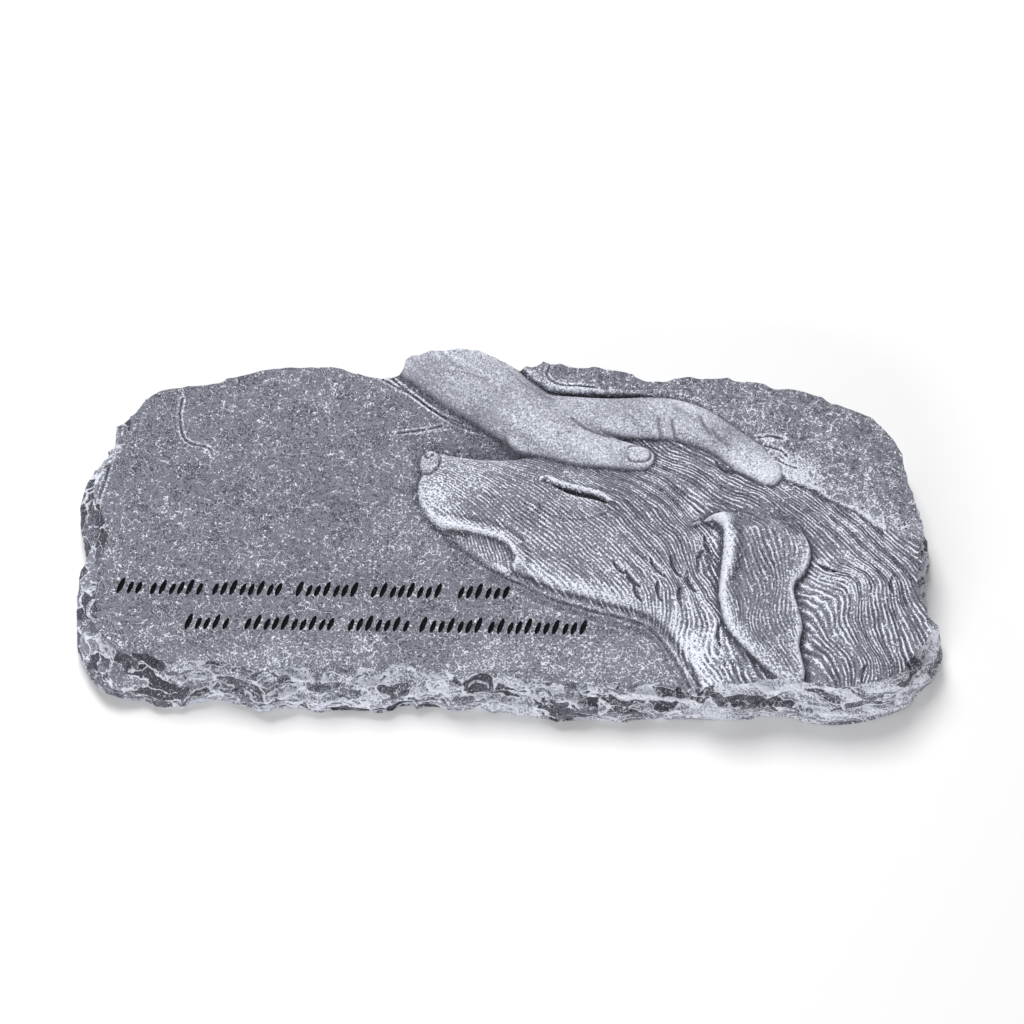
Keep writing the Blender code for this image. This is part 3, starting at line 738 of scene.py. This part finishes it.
def to_solid(points):
    """Drawn millimetres to metres, so that the drawn stone fills the solid's box."""
    return box_low + (points - drawn_low) / (drawn_high - drawn_low) * (box_high - box_low)


def to_drawn(places):
    """Metres back to drawn millimetres."""
    return drawn_low + (places - box_low) / (box_high - box_low) * (drawn_high - drawn_low)


def read_places(obj):
    """Places of all vertices, one row each."""
    places = np.empty(len(obj.data.vertices) * 3, np.float32)
    obj.data.vertices.foreach_get("co", places)
    return places.reshape(-1, 3)


def write_places(obj, places):
    obj.data.vertices.foreach_set("co", places.astype(np.float32).ravel())
    obj.data.update()


def add_blank():
    bpy.ops.object.select_all(action='DESELECT')
    bpy.ops.mesh.primitive_grid_add(
        x_subdivisions=2 * (TOP_X + RINGS), y_subdivisions=2 * (TOP_Y + RINGS), size=2)
    blank = bpy.context.object
    blank.name = blank.data.name = "carved_stone"
    return blank


box_low, box_high = np.array(low), np.array(high)
stone = add_blank()
drawn = shape_blank(read_places(stone).astype(float))
drawn_low, drawn_high = drawn.min(0), drawn.max(0)
write_places(stone, to_solid(drawn))
print("blank of", len(drawn), "vertices, drawn", np.round(drawn_high - drawn_low, 1), "mm")

# %% [markdown]
# The paint is what shows the carving. Grey cast stone is first washed with dark, which stays in the
# hollows, and then brushed with an almost dry white brush, which only touches the crests. Both can
# be measured: a place is a crest where it stands higher than its blurred surroundings. Shade is also
# painted in three places: in the eye's slit under the lid, in the hollow beside the ear, and along
# the lower-left edge of the hand. The amounts are kept as attributes on the vertices, for the
# material to read.

# %% Crests and hollows
def crests(field, fine, broad):
    """How far each place stands above its near and its wider surroundings, in millimetres."""
    near = field - blur(field, fine)
    wide = blur(field, fine * 0.5) - blur(field, broad)
    return near, wide


top_near, top_wide = crests(relief, 0.6, 2.2)
side_near, side_wide = crests(side_offset, 0.5, 1.6)

# Where the brush was used more or less, and one band of painted shade: x, y, radii, turn and amount
BRUSHED_AND_SHADED = [
    (0, 45, 40, 12, -35, 0.22), (30, 26, 24, 7, -10, 0.25), (50, 37, 24, 8, 0, 0.25),
    (76, 21, 10, 8, -50, 0.32), (92, 17, 12, 7, -25, 0.50), (-24, 8, 8, 14, 0, 0.26),
    (-14, -3, 16, 3, -15, 0.35), (-5, 10, 24, 12, -15, 0.17), (60, -45, 9, 20, 0, 0.42),
    (62, -6, 5, 8, 0, 0.40), (67, -20, 3, 16, 0, 0.25), (30, -10, 20, 14, -20, 0.08),
    (-130, -12, 3, 14, 0, 0.12), (-85, -49, 22, 4, 0, 0.30), (20, -50, 60, 9, 0, 0.22),
    (-50, -44, 70, 10, 0, 0.10), (110, 25, 22, 18, -30, 0.12), (105, -28, 24, 24, 0, 0.28),
    (120, -2, 14, 5, -15, 0.35), (22, -26, 26, 3.5, -22, 0.22), (-30, 66, 24, 5, -10, 0.45),
    # Painted shade: the band at (-19, 41), at the end of the next row, takes white away along the
    # lower-left edge of the hand
    (60, 41, 14, 4, -10, 0.20), (36, 25, 9, 5, -10, 0.12), (-19, 41, 28, 4, -36, -0.20),
    (-60, 20, 60, 30, 0, -0.06), (43, -20, 12, 14, 0, 0.10), (5, 60, 9, 4, -30, -0.10),
]
brushed_and_shaded = sum(amount * swell(bx, by, rx, ry, turn) for bx, by, rx, ry, turn, amount in BRUSHED_AND_SHADED)
ear_roll = ring(in_ear, 1.8, 1.8) * (in_ear > 0) * ease((77 - X) / 6)
ear_roll = ear_roll * (0.3 + 0.7 * ease((Y + 34) / 20))
beside_crack = sum(ring(gap, 0.9, 0.4) for gap in crack_gaps)
brushed_and_shaded = brushed_and_shaded + 0.06 * lumps + 0.5 * lid * (in_dog > 4) + 0.26 * ear_roll + 0.3 * beside_crack
brushed_and_shaded += 0.10 * on_throat * ring(in_dog, 5, 1.8)
brushed_and_shaded -= 0.4 * ring(nail_reach(), 1, 0.10) + 0.9 * fold_lines()
skin_share = ease((hand_height - relief + 0.3) / 0.25) * (in_rim > -1)
print("brushed zones", len(BRUSHED_AND_SHADED))

# %% [markdown]
# The grid has more faces than a library piece may have. The Decimate modifier spends what is left
# where the form bends, so flat stretches give up their faces first. The underside is filled flat
# before that, in edit mode, as the mould's open face was struck off level.

# %% Underside and thinning
# The strokes add some 15,000 triangles later, and a piece may have 200,000
FACE_LIMIT = 182000
BOX_MARGIN = 1e-7
FOOT_INSET = 0.003


def select_foot():
    """Selects the open outermost ring of the blank in edit mode."""
    bpy.ops.object.mode_set(mode='EDIT')
    bpy.ops.mesh.select_mode(type='EDGE')
    bpy.ops.mesh.select_all(action='DESELECT')
    bpy.ops.mesh.select_non_manifold(extend=False)


def keep_in_box(obj):
    """Brings back the few vertices that the thinning put a hair's breadth outside the box."""
    places = read_places(obj)
    kept = np.clip(places, box_low + BOX_MARGIN, box_high - BOX_MARGIN)
    write_places(obj, kept)
    return int((np.abs(kept - places) > 2 * BOX_MARGIN).any(1).sum())


select_foot()
bpy.ops.mesh.edge_face_add()
bpy.ops.mesh.inset(thickness=FOOT_INSET)
bpy.ops.mesh.select_all(action='SELECT')
bpy.ops.mesh.quads_convert_to_tris()
bpy.ops.mesh.normals_make_consistent(inside=False)
bpy.ops.object.mode_set(mode='OBJECT')
thin = stone.modifiers.new("Thin", 'DECIMATE')
thin.ratio = FACE_LIMIT / len(stone.data.polygons)
bpy.ops.object.modifier_apply(modifier=thin.name)
moved = keep_in_box(stone)
print("thinned to", len(stone.data.polygons), "faces;", moved, "vertices brought back into the box")

# %% [markdown]
# The material mixes the paint from the amounts on the vertices and from noise. Its nodes are made
# by a small helper, which adds a node and links or sets its inputs in one line. Each layer of paint
# is a weighed sum, so what counts for it can be read in a table and changed there.

# %% A box for adding nodes
class Paintbox:
    """The nodes of one material, with short ways to add and link them."""

    def __init__(self, name, roughness, shine):
        self.material = bpy.data.materials.new(name)
        self.material.use_nodes = True
        self.nodes, self.links = self.material.node_tree.nodes, self.material.node_tree.links
        self.shader = self.nodes["Principled BSDF"]
        self.shader.inputs["Roughness"].default_value = roughness
        self.shader.inputs["Specular IOR Level"].default_value = shine
        self.place = self.nodes.new("ShaderNodeTexCoord").outputs["Object"]

    def add(self, kind, inputs, **settings):
        """New node. Each input takes a number, a colour or the output of another node."""
        node = self.nodes.new(kind)
        for name, value in settings.items():
            setattr(node, name, value)
        for name, value in inputs.items():
            if isinstance(value, bpy.types.NodeSocket):
                self.links.new(value, node.inputs[name])
            else:
                node.inputs[name].default_value = value
        return node

    def noise(self, scale, detail, roughness=0.5, place=None):
        inputs = {"Vector": place or self.place, "Scale": scale, "Detail": detail, "Roughness": roughness}
        return self.add("ShaderNodeTexNoise", inputs)

    def calculate(self, operation, *values):
        """One sum of values or numbers."""
        return self.add("ShaderNodeMath", dict(enumerate(values)), operation=operation).outputs[0]

    def times(self, first, *others):
        for other in others:
            first = self.calculate('MULTIPLY', first, other)
        return first

    def weigh(self, values, weights, total=0.0):
        """Sum of named values, each times its weight, and of a constant."""
        for name, weight in weights.items():
            total = self.calculate('MULTIPLY_ADD', values[name], weight, total)
        return total

    def ramp(self, value, start, end):
        """Share from 0 to 1 as a value goes from start to end."""
        inputs = {"Value": value, "From Min": start, "From Max": end}
        return self.add("ShaderNodeMapRange", inputs, interpolation_type='SMOOTHSTEP').outputs["Result"]

    def blend(self, share, first, second):
        """Colour between two colours."""
        inputs = {"Factor": share, 6: first, 7: second}
        return self.add("ShaderNodeMix", inputs, data_type='RGBA').outputs[2]

    def worms(self, noise, width):
        """Thin crooked lines where a noise passes its middle, from 0 to 1."""
        off_middle = self.calculate('ABSOLUTE', self.calculate('SUBTRACT', noise, 0.5))
        return self.ramp(off_middle, width, 0.0)

    def stretch(self, place, turn, grain):
        """Places turned and measured in grains, so that a pattern on them is drawn out."""
        inputs = {"Vector": place, "Rotation": [math.radians(angle) for angle in turn], "Scale": grain}
        return self.add("ShaderNodeMapping", inputs, vector_type='TEXTURE').outputs["Vector"]


print("a box for adding nodes is ready")

# %% Colours and mixtures of the paint
def grey(*channels):
    """Colour on screen to a colour of light."""
    linear = [((v / 255 + 0.055) / 1.055) ** 2.4 if v > 10 else v / 3295 for v in channels]
    return (*linear, 1.0)


MID_GREY, PALE_GREY = grey(120, 122, 134), grey(140, 142, 155)
# The dark grey is the wash of the hollows, and also the colour of the painted shade in the eye's slit and
# beside the ear
WASH_AND_SHADE, DRY_WHITE, BLACK = grey(70, 71, 80), grey(232, 235, 246), grey(6, 6, 9)
# Noises of the stone: scale, detail and roughness
NOISES = {
    "speck": (1700, 1, 0.5), "fleck": (700, 3, 0.6), "mottle": (110, 5, 0.65), "crooked": (800, 1, 0.5),
    "squiggle": (260, 2, 0.6), "crease": (420, 1, 0.6),
}
# Widths of the lines that are made of three of them
WORMS = {"crooked": 0.035, "squiggle": 0.026, "crease": 0.035}
# Flakes of the broken side: size in metres, width of their crests, and how far they bend
FLAKE_GRAIN, FLAKE_CREST, FLAKE_BEND = (0.0150, 0.0085, 0.0032), 0.085, (0.010, 0.010, 0.005)
# Weights of the paint layers and of the bump, and what is taken off each
DARK = {
    "wash_and_shade": 1.0, "speck": 4.0, "fleck": 1.6, "mottle": 2.1, "groove": 0.30, "tone": 1.5, "crease": 0.45,
}
WHITE = {
    "brush_and_shade": 1.0, "speck": 2.5, "fleck": 0.9, "crooked": 0.60, "ridge": 0.65, "squiggle": 0.7,
    "flaked": 1.5, "tone": -0.9, "fur": 0.15,
}
SKIN_WHITE = {"brush_and_shade": 1.0, "speck": 2.4, "fleck": 1.0, "drawn_out": 0.6}
BUMP = {
    "speck": 0.8, "fleck": 0.7, "crooked": 0.4, "ridge": 0.4, "groove": -0.2, "squiggle": 0.4,
    "crease": -0.5, "flaked": 1.0, "tone": -0.8,
}
DARK_LESS, WHITE_LESS, SKIN_LESS = -3.74, -1.95, -2.10
print("layers of paint:", len(DARK), "values make the dark,", len(WHITE), "the white")

# %% The paint of the stone
def fur_lines(box, values):
    """Crests and grooves of the hairs, each hair strong and weak in places of its own."""
    number = box.times(box.calculate('ROUND', values["hair_count"]), 3.7)
    inputs = {"Vector": box.place, "W": number, "Scale": 260, "Detail": 1}
    own = box.add("ShaderNodeTexNoise", inputs, noise_dimensions='4D').outputs["Fac"]
    wave = box.calculate('COSINE', box.times(values["hair_count"], 2 * math.pi))
    strong = box.times(box.ramp(own, 0.43, 0.60), values["fur"])
    values["ridge"] = box.times(box.ramp(wave, 0.25, 1.0), strong)
    values["groove"] = box.times(box.ramp(wave, 0.1, -0.9), values["fur"])


def flake_lines(box, values):
    """Crests between flat flakes of broken stone, and a tone of its own for each flake."""
    inputs = {0: box.noise(160, 2).outputs["Color"], 1: FLAKE_BEND, 2: box.place}
    bent = box.add("ShaderNodeVectorMath", inputs, operation='MULTIPLY_ADD')
    cells = {"Vector": box.stretch(bent.outputs["Vector"], (0, 9, 0), FLAKE_GRAIN), "Scale": 1.0}
    edge = box.add("ShaderNodeTexVoronoi", cells, feature='DISTANCE_TO_EDGE').outputs["Distance"]
    colour = box.add("ShaderNodeTexVoronoi", cells).outputs["Color"]
    tone = box.add("ShaderNodeSeparateColor", {"Color": colour}).outputs[0]
    patchy = box.ramp(values["mottle"], 0.40, 0.54)
    values["flaked"] = box.times(box.ramp(edge, FLAKE_CREST, 0.0), values["broken"], patchy)
    values["tone"] = box.times(box.calculate('SUBTRACT', tone, 0.5), values["broken"])


def cast_stone():
    box = Paintbox("painted_cast_stone", 0.82, 0.3)
    values = {name: box.noise(*noise).outputs["Fac"] for name, noise in NOISES.items()}
    for name in ("brush_and_shade", "wash_and_shade", "fur", "hair_count", "skin", "broken"):
        values[name] = box.add("ShaderNodeAttribute", {}, attribute_name=name).outputs["Fac"]
    bare, smooth = (box.calculate('SUBTRACT', 1.0, values[name]) for name in ("fur", "skin"))
    for name, width in WORMS.items():
        values[name] = box.times(box.worms(values[name], width), bare)
    for name in ("squiggle", "crease"):
        values[name] = box.times(values[name], smooth)
    fur_lines(box, values)
    flake_lines(box, values)
    along_arm = box.stretch(box.place, (0, 0, -36), (0.03, 0.003, 0.03))
    values["drawn_out"] = box.times(values["skin"], box.noise(1.0, 2, place=along_arm).outputs["Fac"])
    dark = box.weigh(values, DARK, DARK_LESS)
    white = box.weigh(values, WHITE, WHITE_LESS)
    skin_white = box.weigh(values, SKIN_WHITE, SKIN_LESS)
    stone_grey = box.blend(box.ramp(values["mottle"], 0.35, 0.65), MID_GREY, PALE_GREY)
    # Dark wash over the grey, together with the painted shade
    washed_and_shaded = box.blend(box.ramp(dark, 0.05, 0.75), stone_grey, WASH_AND_SHADE)
    stippled = box.blend(box.ramp(white, 0.3, 0.85), washed_and_shaded, DRY_WHITE)
    rubbed = box.blend(skin_white, washed_and_shaded, DRY_WHITE)
    box.links.new(box.blend(values["skin"], stippled, rubbed), box.shader.inputs["Base Color"])
    relief_inputs = {"Strength": 0.8, "Distance": 0.0004, "Height": box.weigh(values, BUMP)}
    bump = box.add("ShaderNodeBump", relief_inputs)
    box.links.new(bump.outputs["Normal"], box.shader.inputs["Normal"])
    return box.material


def black_paint():
    box = Paintbox("black_stroke_paint", 0.8, 0.15)
    worn = box.ramp(box.noise(1400, 2).outputs["Fac"], 0.6, 0.8)
    box.links.new(box.blend(worn, BLACK, WASH_AND_SHADE), box.shader.inputs["Base Color"])
    return box.material


stone_material, stroke_material = cast_stone(), black_paint()
stone.data.materials.append(stone_material)
print("materials:", stone_material.name, "and", stroke_material.name)

# %% [markdown]
# The two rows of strokes are cut with small leaning chisels, shaped like seeds, and filled with
# black paint. A Boolean cut makes them sharp, and it gives the cut faces the chisel's own material,
# so the black ends exactly at the edge of each stroke.

# %% Chisels for the strokes
STROKE_DEPTH = 0.8
STROKE_LEAN = 20.0
ROW_SLOPE = math.tan(math.radians(-0.9))
# Groups of strokes: x of the first, foot, and number
STROKE_GROUPS = [
    (-127, -25.8, 3), (-116.5, -26.1, 6), (-96.5, -26.4, 8), (-69.5, -26.9, 7), (-45.5, -27.3, 8),
    (-17.5, -27.7, 6), (-104.5, -38.6, 5), (-85.5, -38.9, 10), (-52.5, -39.4, 7), (-29.5, -39.8, 7),
    (-7.8, -40.2, 11),
]
# Rhythm of the strokes: height, width, and way to the next, always with a gap between them
STROKE_RHYTHM = [
    (6.0, 1.8, 3.1), (4.6, 1.6, 2.7), (4.5, 1.7, 3.0),
    (5.8, 1.7, 3.1), (4.5, 1.6, 2.7), (5.0, 1.7, 3.0),
]


calm_relief = blur(relief, 1.5)


def add_chisel(x, foot, tall, wide):
    middle_y = foot + tall / 2
    ground = float(read_board(calm_relief, np.array([x]), np.array([middle_y]))[0])
    bpy.ops.mesh.primitive_uv_sphere_add(
        segments=12, ring_count=10, radius=1, rotation=(math.radians(-90), 0, 0))
    chisel = bpy.context.object
    bpy.ops.object.transform_apply(location=False, rotation=True, scale=False)
    chisel.scale = (wide / 2000, tall / 2000, STROKE_DEPTH / 1000)
    chisel.rotation_euler = (0, 0, math.radians(-STROKE_LEAN))
    chisel.location = to_solid(np.array([x, middle_y, PANEL_HEIGHT + ground]))
    bpy.ops.object.transform_apply(location=True, rotation=True, scale=True)
    return chisel


def add_chisels():
    chisels = []
    bpy.ops.object.select_all(action='DESELECT')
    for group, (start, foot, strokes) in enumerate(STROKE_GROUPS):
        x = start
        for k in range(strokes):
            tall, wide, onward = STROKE_RHYTHM[(k + 2 * group) % len(STROKE_RHYTHM)]
            y = foot + (x - start) * ROW_SLOPE
            chisels.append(add_chisel(x, y, tall, wide))
            x += onward
    for chisel in chisels:
        chisel.select_set(True)
    bpy.ops.object.join()
    tool = bpy.context.object
    tool.name = "chisels"
    tool.data.materials.append(stroke_material)
    return tool, len(chisels)


chisels, stroke_count = add_chisels()
bpy.ops.object.select_all(action='DESELECT')
stone.select_set(True)
bpy.context.view_layer.objects.active = stone
cut = stone.modifiers.new("Strokes", 'BOOLEAN')
cut.operation = 'DIFFERENCE'
cut.object = chisels
cut.material_mode = 'TRANSFER'
bpy.ops.object.modifier_apply(modifier=cut.name)
bpy.data.objects.remove(chisels)
stone.data.calc_loop_triangles()
print("cut", stroke_count, "strokes; triangles now", len(stone.data.loop_triangles))

# %% [markdown]
# The thinned mesh has new vertices, so the amounts of paint are read for each of them from the
# board or from the strip, by its own place. The top reads the board. The side finds its place on
# the strip by its angle and its height.

# %% Paint amounts on the vertices
def convexity(obj):
    """How far each vertex stands above its neighbours, as a slope."""
    places = read_places(obj)
    count = len(places)
    normals, ends = np.empty(count * 3, np.float32), np.empty(len(obj.data.edges) * 2, np.int32)
    obj.data.vertices.foreach_get("normal", normals)
    obj.data.edges.foreach_get("vertices", ends)
    normals, ends = normals.reshape(-1, 3), ends.reshape(-1, 2)
    total, neighbours = np.zeros(count), np.zeros(count)
    for here, there in ((ends[:, 0], ends[:, 1]), (ends[:, 1], ends[:, 0])):
        away = places[here] - places[there]
        slope = (away * normals[here]).sum(1) / np.maximum(np.linalg.norm(away, axis=1), 1e-9)
        total += np.bincount(here, slope, count)
        neighbours += np.bincount(here, minlength=count)
    return total / np.maximum(neighbours, 1)


# Paint before anything is counted: white and dark, on the top and on the broken side
TOP_WHITE, TOP_DARK = 0.19, 0.16
SIDE_WHITE, SIDE_DARK = 0.44, 0.14
# Height in millimetres under which a vertex is on the unpainted underside
UNDERSIDE = 0.05


def top_paint(x, y):
    """White and dark on the carved top, with its painted shade."""
    near = np.clip(read_board(top_near, x, y), -0.3, 0.3)
    wide = np.clip(read_board(top_wide, x, y), -0.6, 0.6)
    white = TOP_WHITE + 1.4 * near + 0.25 * wide + read_board(brushed_and_shaded, x, y)
    return white, TOP_DARK - 1.4 * near - 0.20 * wide + 0.8 * read_board(dark_wash_and_shade, x, y)


def side_paint(obj, x, y, z, top):
    """White and dark on the broken side: darker at the left end, whiter at the right one."""
    s = rim_at(np.arctan2(y / HALF_WIDTH, x / HALF_LENGTH))[-1]
    down = np.interp(-z / np.maximum(top, 1), -SIDE_PROFILE[:, 2], SIDE_PROFILE[:, 0])
    near, wide = (read_strip(field, s, down * SIDE_PATH) for field in (side_near, side_wide))
    left_end, right_end = ease((-105 - x) / 20), ease((x - 45) / 30)
    smear = ease(read_board(smears, x + z, y + z) * 0.5 + 0.1)
    lip = ease((down - 0.5) / 0.1)
    white = SIDE_WHITE - 0.6 * left_end + 0.16 * right_end + 0.3 * smear + 0.9 * near + 0.15 * wide
    white = white + 1.2 * np.clip(convexity(obj), -0.1, 0.3) - 0.10 * lip
    dark = SIDE_DARK + 0.2 * left_end - 0.10 * right_end - 0.7 * near - 0.2 * wide
    return white, dark - 0.15 * lip


def paint(obj):
    x, y, z = to_drawn(read_places(obj)).T
    top = PANEL_HEIGHT + read_board(relief, x, y)
    on_side = ease((top - z - 0.6) / 1.0)
    on_top = 1 - on_side
    mixed = zip(top_paint(x, y), side_paint(obj, x, y, z, top))
    white, dark = (top_part * on_top + side_part * on_side for top_part, side_part in mixed)
    white[z < UNDERSIDE] = 0.0
    # The white amount also carries the painted shade along the hand's lower-left edge, and the dark
    # amount the painted shade in the eye's slit and beside the ear
    paints = {
        "brush_and_shade": np.clip(white, 0, 1), "wash_and_shade": np.clip(dark, 0, 1),
        "fur": read_board(fur_share, x, y) * on_top, "hair_count": read_board(fur_count, x, y),
        "skin": read_board(skin_share, x, y) * on_top, "broken": on_side,
    }
    for name, values in paints.items():
        layer = obj.data.attributes.new(name, 'FLOAT', 'POINT')
        layer.data.foreach_set("value", values.astype(np.float32))
        print(name, "lowest and highest", span(values))


smears = cloud(71, 3.0)
paint(stone)
bpy.ops.object.shade_smooth_by_angle(angle=math.radians(50))
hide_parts("memorial_stone")
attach(stone, "root")
print(stone.name, "rides on root and stands for memorial_stone")

# %% [markdown]
# The stone lies on a plain pale floor under soft light: a wide lamp overhead and a little behind,
# a weaker one in front, and a bright room all round, so no shadow is hard.

# %% Floor and light
FLOOR_SIZE, FLOOR_DROP = 6, 0.0001
bpy.ops.mesh.primitive_plane_add(size=FLOOR_SIZE, location=(0, 0, -FLOOR_DROP))
floor = bpy.context.object
floor.name = "floor"
floor_material = bpy.data.materials.new("pale_floor")
floor_material.use_nodes = True
floor_inputs = floor_material.node_tree.nodes["Principled BSDF"].inputs
floor_inputs["Base Color"].default_value = (0.9, 0.9, 0.9, 1)
floor_inputs["Roughness"].default_value = 0.9
floor.data.materials.append(floor_material)


def add_lamp(name, place, size, power):
    data = bpy.data.lights.new(name, 'AREA')
    data.size = size
    data.energy = power
    lamp = bpy.data.objects.new(name, data)
    lamp.location = place
    lamp.rotation_euler = (-Vector(place)).to_track_quat('-Z', 'Y').to_euler()
    bpy.context.scene.collection.objects.link(lamp)


add_lamp("overhead", (-0.15, 0.55, 0.95), 0.45, 10.4)
add_lamp("front", (-0.3, -1.0, 0.38), 0.6, 6.5)
ROOM_LIGHT = 0.35
world = bpy.data.worlds.new("room")
world.use_nodes = True
room = world.node_tree.nodes["Background"].inputs
room["Color"].default_value = (1, 1, 1, 1)
room["Strength"].default_value = ROOM_LIGHT
bpy.context.scene.world = world
print("floor and two lamps")

# %% [markdown]
# The camera looks down at 62 degrees from the front, 0.9 m away, with a long lens.

# %% Camera
ELEVATION = math.radians(62)
DISTANCE, LENS, SENSOR = 0.9, 95.0, 36.0
TARGET = Vector((0.0025, 0.009, 0.009))
camera_data = bpy.data.cameras.new("camera")
camera_data.lens, camera_data.sensor_width = LENS, SENSOR
camera = bpy.data.objects.new("camera", camera_data)
camera.location = TARGET + DISTANCE * Vector((0, -math.cos(ELEVATION), math.sin(ELEVATION)))
camera.rotation_euler = (math.pi / 2 - ELEVATION, 0, 0)
bpy.context.scene.collection.objects.link(camera)
bpy.context.scene.camera = camera
bpy.context.scene.view_settings.view_transform = 'Standard'
print("camera at", [round(v, 3) for v in camera.location])
